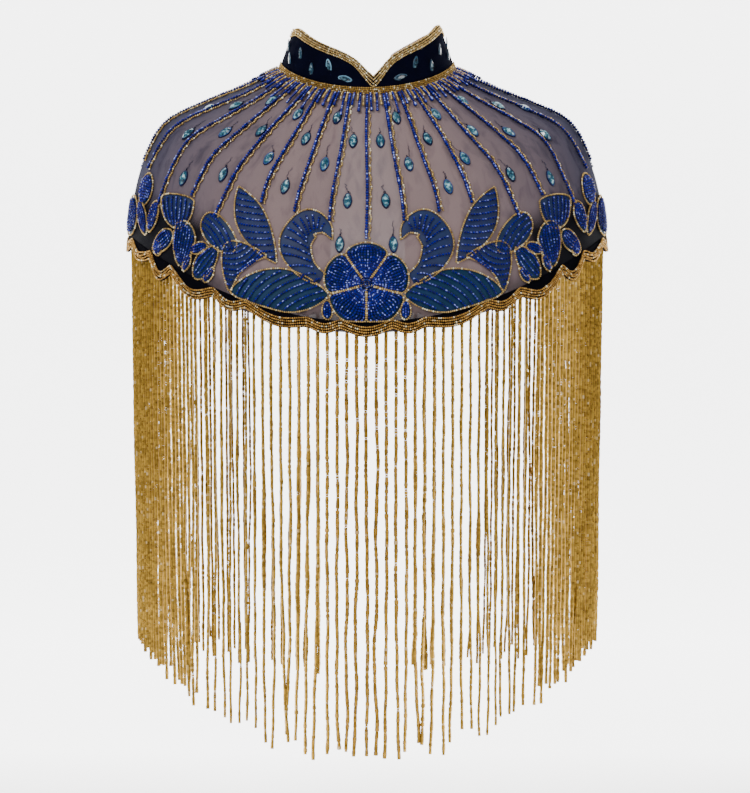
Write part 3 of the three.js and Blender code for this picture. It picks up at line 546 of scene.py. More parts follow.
def many(name, shape, sets, finish, slot, *nodes, smoothly=True):
    """One mesh of many small things.

    Each set holds places, directions, outward ways, sizes across, out and along, and how light each is.
    """
    bmesh.ops.triangulate(shape, faces=shape.faces[:])
    shape.verts.ensure_lookup_table()
    unit = np.array([vert.co for vert in shape.verts])
    # Faces in a fixed order, each from its lowest vertex, because bmesh lists raised ones in any order
    loops = [[vert.index for vert in face.verts] for face in shape.faces]
    faces = np.array(sorted(loop[loop.index(min(loop)):] + loop[:loop.index(min(loop))] for loop in loops))
    shape.free()
    place, along, out, size, tone = (np.concatenate(part) for part in zip(*sets))
    side = np.cross(out, along)
    side /= np.maximum(np.linalg.norm(side, axis=1, keepdims=True), 1e-9)
    out = np.cross(along, side)
    axes = np.stack([side, out, along], 1) * size[:, :, None]
    corners = place[:, None, :] + np.einsum("vk,nkj->nvj", unit, axes)
    order = faces[None] + (np.arange(len(place)) * len(unit))[:, None, None]
    mesh = bpy.data.meshes.new(name)
    mesh.from_pydata((corners.reshape(-1, 3) * MM).tolist(), [], order.reshape(-1, 3).tolist())
    # crown: how far each vertex of a bead faces out, where the bead materials paint their highlight and
    # glint
    crown = np.clip(unit[:, 1] / np.abs(unit[:, 1]).max(), 0, 1)
    set_values(mesh, "tone", np.repeat(tone, len(unit)))
    set_values(mesh, "crown", np.tile(crown, len(place)))
    if smoothly:
        mesh.shade_smooth()
    finished(added(name, mesh), finish, slot, *nodes)


def sized(string, wide, along, uneven=0.06):
    """A string's beads with their sizes, each a little different."""
    count = len(string[0])
    size = np.array([wide, wide, along]) * (1 + uneven * chance.standard_normal((count, 1)))
    return (*string, size, chance.random(count))


def glass_beads(name, deep, bright, glint):
    """Small glass beads: deep in the body, painted lighter on the crown as a highlight, and every few beads
    a painted glint.
    """
    finish = Finish(name, roughness=0.25, Specular_IOR_Level=0.22)
    tone, crown = finish.attribute("tone"), finish.attribute("crown")
    # Painted highlight: lighter towards the crown, the side that faces out
    body = finish.mix(crown**2 * (0.25 + 0.75 * tone), deep, bright)
    # Painted glint on the crown of every few beads
    spot = ((crown - 0.72) * 5.0).clamped() * ((tone - 0.62) * 3.0).clamped()
    finish.colour(spot, body, glint, 0.16 + 0.3 * finish.noise(700.0, 2.0))
    return finish


def metal_beads(name, dark, light, roughness=0.3, depth=0.88, glints=0.14):
    """Beads with a metal surface: painted shade between them, a painted highlight on the crown, some duller,
    and a painted glint on a few.
    """
    finish = Finish(name, metallic=0.6, roughness=roughness, Specular_Tint=(1.0, 0.75, 0.35, 1.0))
    tone, crown = finish.attribute("tone"), finish.attribute("crown")
    wear_and_crease_shade = finish.noise(450.0, 3.0)
    # Painted shade between the beads and a painted highlight on the crown; depth says how dark the painted
    # shade is, and tone and the wear noise make some beads duller
    share = (1 - depth + depth * crown**1.5) * (0.35 + 0.65 * tone) + 0.3 * (wear_and_crease_shade - 0.5)
    body = finish.mix(share, dark, light)
    # Painted glint on the crown of a few beads
    glint = ((tone - (1 - glints)) * 12.0).clamped() * crown
    finish.colour(glint, body, (1.0, 0.9, 0.62), roughness + 0.3 * (wear_and_crease_shade - 0.5))
    return finish


organza = Finish("blue organza", roughness=0.6, Specular_IOR_Level=0.15)
u, v = organza.cloth()
weave = (u * 2400.0).through("SINE") * (v * 2400.0).through("SINE")
cloud = organza.noise(60.0, 4.0)
plain = organza.mix(organza.attribute("ground"), (0.035, 0.037, 0.1), (0.0015, 0.026, 0.06))
organza.colour(1.6 * (cloud - 0.42), plain, (0.01, 0.035, 0.13), 0.45 + 0.2 * cloud)
organza.bump(weave + cloud, 0.3, 0.2)

royal = glass_beads("royal blue beads", (0.0004, 0.0008, 0.04), (0.0008, 0.005, 0.5), (0.42, 0.52, 1.0))
midnight = glass_beads("deep blue beads", (0.0003, 0.0008, 0.03), (0.0006, 0.005, 0.3), (0.2, 0.3, 0.9))
gold = metal_beads("gold beads", (0.15, 0.07, 0.012), (1.0, 0.72, 0.3), glints=0.2)


def leaf_patch(name, place_flat, ground, mirror):
    """A patch of organza, domed a little. Its ground says how dark a blue it is."""
    def place(x, y):
        t, s = 0.015 + 0.97 * y, (2 * x - 1) * 0.97
        flat = place_flat(t, s)
        dome = (1 - s**4) * (1 - (2 * t - 1) ** 6)
        lift = 0.25 + dome * (ORGANZA_LIFT + ORGANZA_CROWN * (1 - s * s))
        places, out = on_border(mirror(flat[:, 0]), np.maximum(flat[:, 1], PATCH_FOOT), lift)
        return places, out, flat

    patch = cloth_piece(name, 10, 18, place, 0)
    set_values(patch.data, "ground", np.full(len(patch.data.vertices), float(ground)))
    return patch


patches, blue_rows, gold_lines, button = [], [], [], []
ROW_LIFT = ORGANZA_LIFT + 0.35 * ORGANZA_CROWN + ROW_BEAD / 2


def blue_row(mm, up):
    places, out = on_border(mm, np.maximum(up, ROW_FOOT), ROW_LIFT)
    blue_rows.append(sized(strung(places, out, ROW_PITCH), ROW_BEAD, ROW_PITCH * 1.02))


def gold_line(mm, up, lift):
    places, out = on_border(mm, np.maximum(up, LINE_FOOT), GOLD_BEAD / 2 + lift)
    gold_lines.append(sized(strung(places, out, GOLD_PITCH), GOLD_BEAD, GOLD_PITCH))


def around(flat_place, steps):
    """The edge of a patch, up one side and down the other."""
    t = np.concatenate([np.linspace(0, 1, steps), np.linspace(1, 0, steps)])
    return flat_place(t, np.repeat([1.0, -1.0], steps))


# Each leaf is worked on both sides, each petal once, and the larger leaves again on the backs
worked = [(leaf, lambda mm, way=way: way * mm) for leaf in LEAVES for way in (1, -1)]
for p in range(PETALS):
    angle = np.pi / 2 + 2 * np.pi * p / PETALS
    ray = np.array([np.cos(angle), np.sin(angle)])
    base, tip = (tuple(ray * reach + [0, FLOWER_UP]) for reach in (2, PETAL_REACH))
    petal = ("petal", base, tip, PETAL_WIDTH, 0, 0.7, 0.55, None, 2.6, 0, 1)
    worked.append((petal, lambda mm: mm))
BACK_FROM, BACK_WIDER = 80, 12
back_leaves = [leaf for leaf in LEAVES if leaf[1][0] > BACK_FROM and leaf[3] > BACK_WIDER]
for leaf in back_leaves:
    worked += [(leaf, lambda mm, way=way: way * (2 * FRONT_BORDER - mm)) for way in (1, -1)]

for number, (leaf, mirror) in enumerate(worked):
    flat_place = lambda t, s, leaf=leaf: leaf_point(leaf, t, s)
    patches.append(leaf_patch(f"patch_{number}", flat_place, leaf[-1], mirror))
    for line in leaf_rows(leaf):
        blue_row(mirror(line[:, 0]), line[:, 1])
    edge = around(flat_place, 60)
    gold_line(mirror(edge[:, 0]), edge[:, 1], 1.1 if leaf[0] == "petal" else 0.4)
for way in (1, -1):
    patches.append(leaf_patch(f"scroll_patch_{way}", scroll_point, 0.35, lambda mm, way=way: way * mm))
    for start_across, start_up, end_across, end_up in zip(*SCROLL_ROWS.values()):
        along = np.linspace(0.06, 0.97, 40)
        up = start_up + (end_up - start_up) * along + 1.6 * np.sin(np.pi * along)
        blue_row(way * (start_across + (end_across - start_across) * along), up)
    edge = around(scroll_point, 80)
    gold_line(way * edge[:, 0], edge[:, 1], 0.3)
for radius in (1.2, 3.4, 5.6):
    turn = np.linspace(0, 2 * np.pi, 40)
    places, out = on_border(radius * np.cos(turn), FLOWER_UP + radius * np.sin(turn), 4.6 - radius * 0.3)
    button.append(sized(strung(places, out, 1.9), 2.3, 1.95))

for patch in patches:
    patch.data.materials.append(organza.material)
joined = {"active_object": patches[0], "selected_editable_objects": patches, "selected_objects": patches}
with bpy.context.temp_override(**joined):
    bpy.ops.object.join()
leaves = patches[0]
leaves.name = "organza_leaves"
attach(leaves, "root")
many("leaf_bead_rows", bead_shape(5), blue_rows, royal, "drop_beads")
many("flower_button", bead_shape(6), button, midnight, "drop_beads")
many("leaf_gold_lines", bead_shape(5), gold_lines, gold, "gold_beads")

# Bead lines: in each, a cord of royal blue beads runs from the collar down to the border, and a thinner
# wavy line of gold beads is sewn beside it.
LINE_SPACING = 0.1125
# How far down each line runs, from centre front to the back
LINE_ENDS = [150, 136, 134, 135, 162, 156, 190, 157, 152, 158, 146, 160, 150, 162, 152, 160]
# Lines that lean out towards the hem: how far, in quarters of the ring, and how late they bend
SIDEWAYS = {4: (0.142, 4), 5: (0.11, 4), 6: (0.07, 2), 7: (0.12, 2)}
LINE_BEAD, LINE_PITCH, WAVE_BEAD = 3.15, 2.6, 2.0
line_blue, line_gold = [], []
for number in range(-15, 16):
    down = np.linspace(1.5, LINE_ENDS[abs(number)], 160)
    phase = chance.random() * 6
    drift = 0.5 * np.sin(down / 19 + phase) / quarter_length(abs(number) * LINE_SPACING, down)
    sideways, late = SIDEWAYS.get(abs(number), (0, 1))
    across = number * LINE_SPACING + drift + np.sign(number) * sideways * (down / CLOTH_DEPTH) ** late
    places, out = on_cloth(across, down, LINE_BEAD / 2 + 0.2)
    line_blue.append(sized(strung(places, out, LINE_PITCH), LINE_BEAD, LINE_PITCH * 1.05, 0.1))
    beside = 2.9 + 0.6 * np.sin(down / 1.5 + phase) + 0.3 * np.sin(down / 5)
    wave = beside / quarter_length(np.abs(across), down)
    places, out = on_cloth(across + wave, down, WAVE_BEAD / 2 + 0.1)
    line_gold.append(sized(strung(places, out, WAVE_BEAD), WAVE_BEAD, WAVE_BEAD, 0.12))
many("line_blue_beads", bead_shape(6), line_blue, royal, "drop_beads")
many("line_gold_beads", bead_shape(5), line_gold, gold, "gold_beads")

# Crystals: teal marquise stones in dark blue settings, each with a small dark bead at its upper tip.
# They are sewn between the bead lines, and smaller ones stand on the collar.
STONE_LENGTH, STONE_WIDTH, STONE_LIFT = 14.6, 7.4, 2.4
STONE_SIZE = [[STONE_WIDTH * 0.86, STONE_LIFT * 1.15, STONE_LENGTH * 0.86]]
SETTING_SIZE = [[STONE_WIDTH * 1.1, STONE_LIFT * 0.6, STONE_LENGTH * 1.06]]
TIP_SIZE = [[1.5, 1.5, 1.7]]
STONES = {
    "space": [0.55, 0.55, 0.7, 1.45, 1.45, 2.45, 2.45, 3.4, 3.35, 4.3, 4.45, 5.25, 5.4, 5.7, 6.4, 6.45, 7.2],
    "down": [55, 115, 155, 31, 82, 60, 113, 36, 92, 68, 125, 32, 88, 146, 57, 110, 76],
}
BACK_STONES = {"space": [9.5, 10.5, 11.5, 12.5, 13.5, 14.5, 15.5], "down": [60, 90, 60, 90, 60, 90, 60]}


def new_verts(made):
    """The vertices that a bmesh operator made."""
    return [part for part in made["geom"] if isinstance(part, bmesh.types.BMVert)]


def marquise(rise, table):
    """A pointed oval stone: a ring drawn to two points, raised and drawn in to its flat top."""
    shape = bmesh.new()
    bmesh.ops.create_circle(shape, cap_ends=True, segments=12, radius=0.5)
    for vert in shape.verts:
        x, y = vert.co.x * 2, vert.co.y * 2
        vert.co = (x * (1 - 0.15 * abs(y)) * 0.5, 0, y * 0.5)
    girdle = bmesh.ops.extrude_face_region(shape, geom=shape.faces[:])
    for vert in new_verts(girdle):
        vert.co.y = rise * 0.35
    face = [part for part in girdle["geom"] if isinstance(part, bmesh.types.BMFace)]
    for vert in new_verts(bmesh.ops.extrude_face_region(shape, geom=face)):
        vert.co = (vert.co.x * table, rise, vert.co.z * table)
    bmesh.ops.delete(shape, geom=face, context="FACES_ONLY")
    bmesh.ops.recalc_face_normals(shape, faces=shape.faces[:])
    return shape


def crystal_glass(name, dark, light, spark_share):
    """Cut glass: painted dark and light patches as reflections in the cut glass, and painted sparks of
    highlight on the facets.
    """
    finish = Finish(name, roughness=0.08, Coat_Weight=0.5, Coat_Roughness=0.03, IOR=1.55)
    tone, crown, reflection_patches = finish.attribute("tone"), finish.attribute("crown"), finish.noise(330.0, 2.0)
    # Painted reflections: patches of dark and light from noise
    body = finish.mix(reflection_patches * 2.4 - 0.75, dark, light)
    # Painted highlight sparks, on the crown
    spark = ((reflection_patches - 0.52) * 9.0).clamped() * crown * (spark_share + 0.5 * tone)
    finish.colour(spark, body, (0.5, 0.8, 0.85), 0.05 + 0.2 * reflection_patches)
    return finish


crystal = crystal_glass("teal crystal", (0.003, 0.025, 0.05), (0.05, 0.22, 0.31), 0.35)
dark_crystal = crystal_glass("smoky blue crystal", (0.001, 0.008, 0.018), (0.015, 0.075, 0.12), 0.12)
setting = glass_beads("dark blue setting", (0.001, 0.002, 0.02), (0.004, 0.012, 0.08), (0.02, 0.05, 0.2))

stones, settings, tips, sewn = [], [], [], []
spots = []
for table in (STONES, BACK_STONES):
    spots += [(way * space * LINE_SPACING, down) for way in (1, -1) for space, down in zip(*table.values())]
for across, down in spots:
    here = np.array([across])
    place, out = on_cloth(here, down, 0.5)
    above, _ = on_cloth(here, down - 2.0, 0.5)
    along = directed(above - place)
    stones.append((place, along, out, STONE_SIZE, chance.random(1)))
    settings.append((place - out * 0.4, along, out, SETTING_SIZE, chance.random(1)))
    wander = np.linspace(0, 1, 24)
    sway = np.cumsum(chance.standard_normal(24)) * 0.0022
    tip = place + along * (STONE_LENGTH * 0.57) + out * 0.4
    tips.append((tip, along, out, TIP_SIZE, np.zeros(1)))
    places, out = on_cloth(across + sway, down - 7 - wander * (7 + 8 * chance.random()), 0.35)
    sewn.append(sized(strung(places, out, 0.9), 0.32, 1.0))
many("crystals", marquise(0.9, 0.55), stones, crystal, "net", smoothly=False)
many("crystal_settings", marquise(0.9, 0.9), settings, setting, "net", smoothly=False)
many("stone_threads", tube_shape(4), sewn, setting, "net")
many("crystal_tip_beads", bead_shape(6), tips, setting, "net")

# Collar: two wings of navy-black velvet that meet in a notch at the front and lean in as they rise, lined
# with thin tan silk. Rows of gold beads follow the upper edge, and a beaded band covers the neck seam.
COLLAR_MEET, COLLAR_LEAN, BAND_HEIGHT = 0.05, 0.0045, 6.5
WING_OVERLAP = 0.003
COLLAR_TOP = {
    "across": [0, 0.055, 0.12, 0.19, 0.3, 0.5, 0.72, 0.85, 1, 1.23, 1.36, 1.53, 1.68, 1.8],
    "height": [16.5, 22.5, 29.5, 34.2, 38, 40.5, 42, 41.5, 36, 36, 33.8, 28.7, 22.5, 15.5],
}
COLLAR_STONES = {
    "across": [0.22, 0.37, 0.525, 0.69, 0.82, 0.94, 1.12, 1.32, 1.5],
    "height": [13, 22, 14, 23, 14, 22, 21, 14, 14],
    "turn": [1.3, 0.2, -0.1, 0, 0.1, 0.1, 0, 0.1, -0.1],
}
GEM_SIZE, RIM_SIZE = [[4.5, 1.2, 12.2]], [[6.1, 0.8, 14.4]]
EDGE_BEAD, EDGE_PITCH = 1.85, 1.7
BAND_BEAD, BAND_PITCH = 1.7, 1.6
NECK_END = float(back_edge(0.0))
QUARTER = quarter_lengths[0][0]


def on_collar(across, height, lift=0.0):
    """Places on the collar by height over the neck seam, and the outward directions."""
    base, _ = on_cloth(across, 0.0)
    out = directed(base * [1, 1, 0])
    lean = 1 - COLLAR_LEAN * np.asarray(height, float)
    place = base * np.stack([lean, lean, np.ones_like(lean)], -1) + out * np.asarray(lift, float)[..., None]
    place[..., 2] += height
    return place, out


def wing(way, x):
    """Places across along one wing, from the notch to the opening."""
    return way * (x * (NECK_END - way * COLLAR_MEET + WING_OVERLAP) - WING_OVERLAP) + COLLAR_MEET


def top_at(across):
    return smooth(COLLAR_TOP, "height", np.abs(across - COLLAR_MEET))


velvet = Finish("navy black velvet", roughness=0.95, Specular_IOR_Level=0.03, Sheen_Weight=0.03)
velvet.set(Sheen_Tint=(0.02, 0.04, 0.4, 1))
pile = velvet.noise(1500.0, 2.0)
nap = velvet.noise(70.0, 3.0)
velvet.colour(nap, (0.0008, 0.001, 0.003), (0.0015, 0.002, 0.012), 0.85 + 0.12 * pile)
velvet.bump(pile + nap, 0.5, 0.3)
silk = Finish("tan silk lining", roughness=0.55, Sheen_Weight=0.3)
_, v = silk.cloth()
ribs = (v * 5200.0).through("SINE")
silk_cloud = silk.noise(45.0, 3.0)
silk.colour(silk_cloud, (0.42, 0.24, 0.14), (0.66, 0.42, 0.27), 0.45 + 0.2 * silk_cloud)
silk.bump(ribs + 2 * silk_cloud, 0.25, 0.15)
dull_gold = metal_beads("old gold beads", (0.03, 0.014, 0.002), (0.8, 0.48, 0.12), 0.34)
smoky = glass_beads("clear blue setting", (0.004, 0.014, 0.03), (0.03, 0.1, 0.17), (0.2, 0.4, 0.55))

gems, rims = [], []
for name, way in (("left", 1), ("right", -1)):
    def wall(lift, drop, facing):
        """Lays cloth on the wing, at a lift, up to a drop under its top, facing out or in."""
        def place(x, y):
            across = wing(way, x**1.3)
            height = BAND_HEIGHT + (top_at(across) - drop - BAND_HEIGHT) * (1 - y)
            places, out = on_collar(across, height, lift)
            return places, out * facing, np.stack([across * QUARTER, height], -1)

        return place

    panel = cloth_piece("collar_velvet_" + name, 60, 12, wall(0.0, 0.4, 1), 1.6)
    finished(panel, velvet, "collar_velvet", "collar_" + name)
    inside = cloth_piece("collar_silk_" + name, 60, 8, wall(-2.6, 1.6, -1), 0.4)
    finished(inside, silk, "lining", "collar_lining_" + name)
    x = np.linspace(0, 1, 300) ** 1.4
    across = wing(way, x)
    rows = []
    for row in range(4):
        spread = 1.95 + 1.5 * np.exp(-((across - COLLAR_MEET) / 0.11) ** 2)
        height = np.maximum(top_at(across) - 0.3 - row * spread, BAND_HEIGHT + 0.6)
        places, out = on_collar(across, height, 0.1 if row == 0 else 0.7)
        rows.append(sized(strung(places, out, EDGE_PITCH), EDGE_BEAD, EDGE_PITCH))
    wrapped = across[np.abs(across) < 1.15]
    places, out = on_collar(wrapped, top_at(wrapped) - 1.0, -2.0)
    rows.append(sized(strung(places, out, EDGE_PITCH), EDGE_BEAD, EDGE_PITCH))
    many("collar_edge_beads_" + name, bead_shape(6), rows, gold, "gold_beads", "collar_edge_" + name)
    for place_across, height, turn in zip(*COLLAR_STONES.values()):
        centre = np.array([way * place_across + COLLAR_MEET])
        place, out = on_collar(centre, height, 0.05)
        up = np.array([[0, 0, 1.0]])
        beside = np.cross(up, out) * way
        along = up * np.cos(turn) + beside * np.sin(turn)
        gems.append((place, along, out, GEM_SIZE, np.zeros(1)))
        rims.append((place - out * 0.2, along, out, RIM_SIZE, chance.random(1)))
gem, rim = marquise(0.9, 0.55), marquise(0.9, 0.9)
many("collar_crystals", gem, gems, dark_crystal, "collar_velvet", smoothly=False)
many("collar_crystal_settings", rim, rims, smoky, "collar_velvet", smoothly=False)
band_rows = []
across = np.linspace(-NECK_END, NECK_END, 400)
for height in (0.9, 2.5, 4.1, 5.7):
    places, out = on_collar(across, height, 0.8)
    band_rows.append(sized(strung(places, out, BAND_PITCH), BAND_BEAD, BAND_PITCH))
many("collar_band_beads", bead_shape(6), band_rows, dull_gold, "gold_beads", "collar_band")


def band_place(x, y):
    across = (2 * x - 1) * NECK_END
    places, out = on_collar(across, BAND_HEIGHT - 0.4 - y * 6.6)
    return places, out, np.stack([across * QUARTER, y * 7], -1)


finished(cloth_piece("collar_band_velvet", 120, 3, band_place, 1.2), velvet, "collar_velvet")

# Short drops: strands of blue and gold beads hang over the net from a tape at the neck seam, between the
# bead lines. Each ends in a larger bead.
DROPS = {"share": [0.22, 0.45, 0.62, 0.8], "length": [19, 12, 25, 15], "blue": [1, 0, 1, 0]}
drop_sets = {"front": ([], []), "back_left": ([], []), "back_right": ([], [])}
for space in range(-16, 16):
    for share, length, blue in zip(*DROPS.values()):
        across = (space + share) * LINE_SPACING
        if abs(across) > NECK_END - 0.02:
            continue
        reach = length * (0.8 + 0.4 * chance.random())
        down = np.linspace(0.5, reach, 30)
        lean = 0.004 * chance.standard_normal() * down / 20
        places, out = on_cloth(across + lean, down, 2.0 + 0.8 * np.sin(np.pi * down / reach / 1.2))
        bead = 2.5 if blue else 1.8
        string = strung(places, out, bead * 0.85)
        part = "front" if abs(across) < 1 else "back_left" if across > 0 else "back_right"
        sets = drop_sets[part][1 - blue]
        sets.append(sized(string, bead, bead * 0.9, 0.1))
        last = tuple(values[-1:] for values in string)
        sets.append(sized(last, 1.3 * bead, 1.6 * bead, 0.1))
for name, (blue_drops, gold_drops) in drop_sets.items():
    many("drops_blue_" + name, bead_shape(6), blue_drops, royal, "drop_beads", "drops_" + name)
    many("drops_gold_" + name, bead_shape(6), gold_drops, gold, "drop_beads")

# Hem: a band of black velvet, cut in scallops and sewn over the edge of the net, with four close rows of
# gold beads along its lower edge.
HEM_TOP, HEM_BEAD, HEM_PITCH = 11, 1.95, 1.8
LOBES = {
    "end": [21, 48, 102, 134, 183, 214, 254, 296],
    "cusp": [4, 2.5, 4, 2.5, 2.5, 3.5, 3, 3],
    "drop": [5.5, 4, 5.5, 6, 10, 11, 7, 7],
}
BACK_LOBES = 5
hem_end = FRONT_BORDER + BACK_BORDER * (float(back_edge(CLOTH_DEPTH)) - 1)
back_ends = FRONT_BORDER + (hem_end - FRONT_BORDER) * (np.arange(BACK_LOBES) + 1) / BACK_LOBES
ends = np.array([-21.0, *LOBES["end"], *back_ends])
cusps = np.array([4.0, *LOBES["cusp"], *[3.0] * BACK_LOBES])
lobe_drops = np.array([*LOBES["drop"], *[7.0] * BACK_LOBES])


def hem_up(mm):
    """How far up the scalloped edge lies at each place along the border."""
    size = np.clip(np.abs(mm), 0, hem_end)
    i = np.clip(np.searchsorted(ends, size) - 1, 0, len(lobe_drops) - 1)
    t = np.clip((size - ends[i]) / (ends[i + 1] - ends[i]), 0, 1)
    return cusps[i] + (cusps[i + 1] - cusps[i]) * t - lobe_drops[i] * np.sin(np.pi * t) ** 1.25


hem_velvet = Finish("black velvet", roughness=0.95, Specular_IOR_Level=0.03)
hem_pile = hem_velvet.noise(1300.0, 2.0)
hem_velvet.colour(hem_pile, (0.0008, 0.0008, 0.0015), (0.003, 0.003, 0.006), 0.8 + 0.15 * hem_pile)
hem_velvet.bump(hem_pile, 0.4, 0.3)
hem_gold = metal_beads("hem gold beads", (0.05, 0.015, 0.002), (1.0, 0.56, 0.14), 0.3)
HEM_LENGTHS = {
    # from, to, the cloth laid flat, its area
    "front": (-FRONT_BORDER + 0.15, FRONT_BORDER - 0.15, (0.592, 0.0195), 0.007),
    "back_left": (FRONT_BORDER + 0.15, hem_end, (0.232, 0.015), 0.0028),
    "back_right": (-hem_end, -FRONT_BORDER - 0.15, (0.232, 0.015), 0.0028),
}
for name, (start, end, flat, area) in HEM_LENGTHS.items():
    def hem_place(x, y):
        mm = start + (end - start) * x
        up = HEM_TOP + (hem_up(mm) - HEM_TOP) * y
        places, out = on_border(mm, up, 0.35)
        return places, out, np.stack([mm, up], -1)

    band = cloth_piece("hem_velvet_" + name, int((end - start) / 2.2), 6, hem_place, 1.2)
    finished(band, hem_velvet, "hem_velvet")
    rows = []
    for row in range(4):
        mm = np.linspace(start, end, int((end - start) * 1.5))
        jumble = 0.35 * np.sin(mm / 3.1 + row * 2) * np.clip((np.abs(mm) - 130) / 60, 0, 1)
        places, out = on_border(mm, hem_up(mm) + 1.0 + row * 2.25 + jumble, 1.1 + 0.2 * np.sin(mm / 7 + row))
        rows.append(sized(strung(places, out, HEM_PITCH), HEM_BEAD, HEM_PITCH, 0.09))
    many("hem_beads_" + name, bead_shape(6), rows, hem_gold, "gold_beads", "hem_" + name)

# Fringe: long strands of small gold beads, strung close on thread, hang from a satin tape behind the hem.
# They are a little wavy and end unevenly.
FRINGE_LENGTH, FRINGE_UNEVEN, FRINGE_INWARD = 351, 4.5, 6
STRAND, STRAND_PITCH = 3.0, 2.2
ROOT_UP, ROOT_INSIDE, TAPE_INSIDE = 7.3, -3.25, -1.9
# Seen from in front, 1.61 m away, back strands near the middle hang in line with front ones
EYE_X, EYE_Y, IN_LINE = 7, -1610, 110
HALF_WIDTH = 214
tape_satin = Finish("gold satin tape", roughness=0.5, Sheen_Weight=0.1)
weave = tape_satin.noise(1800.0, 2.0)
tape_satin.colour(weave, (0.16, 0.09, 0.02), (0.3, 0.19, 0.06), 0.4 + 0.2 * weave)
fringe_gold = metal_beads("gold fringe beads", (0.065, 0.028, 0.001), (0.85, 0.5, 0.08), 0.32, 0.55, 0.05)
# Where strands have swung together: the place along the hem, how strongly and over what width
GATHERS = {
    "centre": [-62, 118, -168, 212, 40],
    "pull": [0.55, 0.5, 0.5, 0.5, 0.25],
    "width": [15, 17, 20, 20, 14],
}
# Strands are sewn closer together at the sides, where they show edge on as a dense curtain
APART, SIDE_APART, BACK_APART, SIDE_FROM, SIDE_TO = 8, 5, 6, 152, 409
middle_places = np.arange(APART, SIDE_FROM, APART)
side_places = np.arange(SIDE_FROM + SIDE_APART, FRONT_BORDER - 2, SIDE_APART)
half_places = np.r_[middle_places, side_places]
front_places = np.r_[-half_places[::-1], 0, half_places]
near_places = np.arange(FRONT_BORDER + 3, SIDE_TO, SIDE_APART)
back_places = np.r_[near_places, np.arange(SIDE_TO, hem_end - 2, BACK_APART)]
front_sights = []
for name, places_mm in (("front", front_places), ("back_left", back_places), ("back_right", -back_places)):
    strands, behind = [], {}
    for mm in places_mm:
        root = on_border([mm], ROOT_UP, ROOT_INSIDE)[0][0]
        out = root * [1, 1, 0] / np.hypot(root[0], root[1])
        length = FRINGE_LENGTH + FRINGE_UNEVEN * (np.sin(mm * 1.7) + np.sin(mm * 0.61))
        sight = (root[0] - EYE_X) / (root[1] - EYE_Y)
        if name == "front":
            front_sights.append(sight)
        elif abs(root[0]) < IN_LINE:
            nearest = min(front_sights, key=lambda other: abs(other - sight))
            behind[nearest] = behind.get(nearest, -1) + 1
            root = root + out * 2.8 * behind[nearest]
            root[0] = EYE_X + nearest * (root[1] - EYE_Y)
        end = root - out * FRINGE_INWARD * abs(root[0]) / HALF_WIDTH - [0, 0, length]
        t = np.linspace(0, 1, 110)
        sway = chance.standard_normal(4) * [0.9, 0.6, 0.5, 0.3]
        beside = np.array([-out[1], out[0], 0])
        wave = sway[0] * np.sin(6 * t + sway[2] * 9) + sway[1] * np.sin(21 * t + sway[3] * 9)
        wave = wave + 0.3 * np.sin(52 * t + mm * 1.3)
        depth = sway[2] * np.sin(9 * t + sway[0] * 9)
        for centre, pull, width in zip(*GATHERS.values()):
            wave = wave - pull * (mm - centre) * np.exp(-(((mm - centre) / width) ** 2)) * t**2
        wave = wave + 1.3 * chance.standard_normal() * t**5
        line = root + (end - root) * t[:, None]
        line = line + beside * (wave * t**0.4)[:, None] + out * (depth * t**0.4)[:, None]
        string = strung(line, np.repeat([out], len(t), 0), STRAND_PITCH)
        strands.append(sized(string, STRAND, STRAND_PITCH * 1.06, 0.1))
    hung = ("gold_beads", "fringe_" + name)
    many("fringe_strands_" + name, tube_shape(4), strands, fringe_gold, *hung, smoothly=False)
    start, end = places_mm[0], places_mm[-1]

    def tape_place(x, y):
        mm = start + (end - start) * x
        places, out = on_border(mm, 8.8 - 3 * y, TAPE_INSIDE)
        return places, out, np.stack([mm, 3 * y], -1)

    finished(cloth_piece("fringe_tape_" + name, 160, 2, tape_place, 0.9), tape_satin, "gold_beads")

# Hook and eye: a hook and its eye of dull nickel, sewn inside the band at the opening, with the hook on the
# wearer's left. They keep their shapes from the frame and take a worn metal here.
steel = Finish("dull nickel", metallic=1.0, roughness=0.35)
scratch = steel.noise(900.0, 3.0)
steel.colour(scratch, (0.22, 0.22, 0.24), (0.5, 0.5, 0.52), 0.25 + 0.3 * scratch)
for name in ("hook", "eye"):
    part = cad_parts[name]
    part.data.materials.clear()
    part.data.materials.append(steel.material)
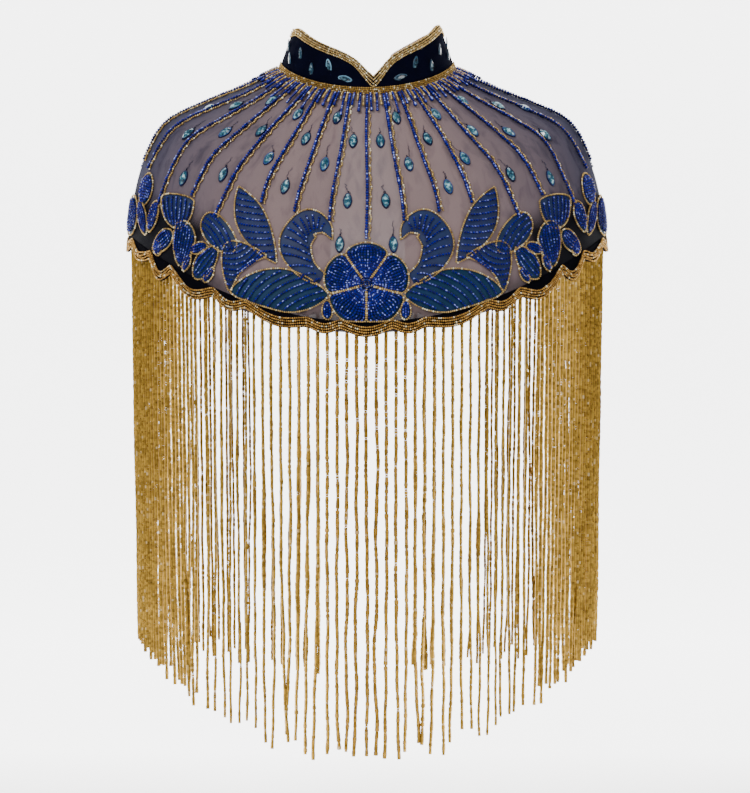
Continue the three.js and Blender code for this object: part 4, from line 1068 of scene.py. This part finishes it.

# Setting: a pale floor that runs up into a pale backdrop, which glows towards the back though it is no lamp
# and so lights the garment from behind, soft light from above and both sides, and the camera level with the
# fringe's upper end.
shape = bmesh.new()
bmesh.ops.create_grid(shape, x_segments=1, y_segments=1, size=4)
far_edge = max(shape.edges, key=lambda e: e.verts[0].co.y + e.verts[1].co.y)
risen = bmesh.ops.extrude_edge_only(shape, edges=[far_edge])
bmesh.ops.translate(shape, verts=new_verts(risen), vec=(0, 0, 6))
bmesh.ops.bevel(
    shape, geom=[far_edge], offset=1.5, segments=12, profile=0.5, affect="EDGES", material=-1
)
bmesh.ops.translate(shape, verts=shape.verts[:], vec=(0, -1.0, -0.72))
backdrop = piece_mesh("backdrop", shape)
backdrop.data.shade_smooth()
paper = Finish("pale paper", roughness=0.9)
fibre = paper.noise(30.0, 3.0)
# Painted light: the paper glows, from none on the floor in front to full on the backdrop behind
paper.set(Base_Color=paper.mix(fibre, (0.9, 0.9, 0.9), (0.94, 0.94, 0.94)), Emission_Strength=4.0)
behind = Field(paper.tree, paper.node("SeparateXYZ", (), {"Vector": paper.place()}).outputs[1])
paper.set(Emission_Color=paper.mix(((behind + 0.1) * 1.6).clamped(), (0.0, 0.0, 0.0), (1.0, 1.0, 1.0)))
backdrop.data.materials.append(paper.material)

world = bpy.data.worlds.new("studio")
bpy.context.scene.world = world
world.use_nodes = True
world.node_tree.nodes["Background"].inputs[0].default_value = (1, 1, 1, 1)
world.node_tree.nodes["Background"].inputs[1].default_value = 0.22
LIGHTS = [
    # name, place, aim, size, watts
    ("key", (-0.9, -1.5, 1.1), (0, 0, -0.2), 0.6, 34),
    ("fill", (1.4, -1.3, 0.4), (0, 0, -0.3), 0.8, 9),
    ("top", (0.1, 0.3, 1.5), (0, 0, -0.2), 0.8, 9),
]
for name, place, aim, size, watts in LIGHTS:
    lamp = bpy.data.lights.new(name, "AREA")
    lamp.size, lamp.energy = size, watts
    light = added(name, lamp)
    light.location = place
    light.rotation_euler = (Vector(aim) - Vector(place)).to_track_quat("-Z", "Y").to_euler()

lens = bpy.data.cameras.new("camera")
camera = added("camera", lens)
bpy.context.scene.camera = camera
camera.location = (0.007, -1.61, -0.295)
camera.rotation_euler = (np.pi / 2, 0, 0)
lens.sensor_fit, lens.sensor_width, lens.lens = "HORIZONTAL", 36, 85.87
lens.dof.use_dof = False
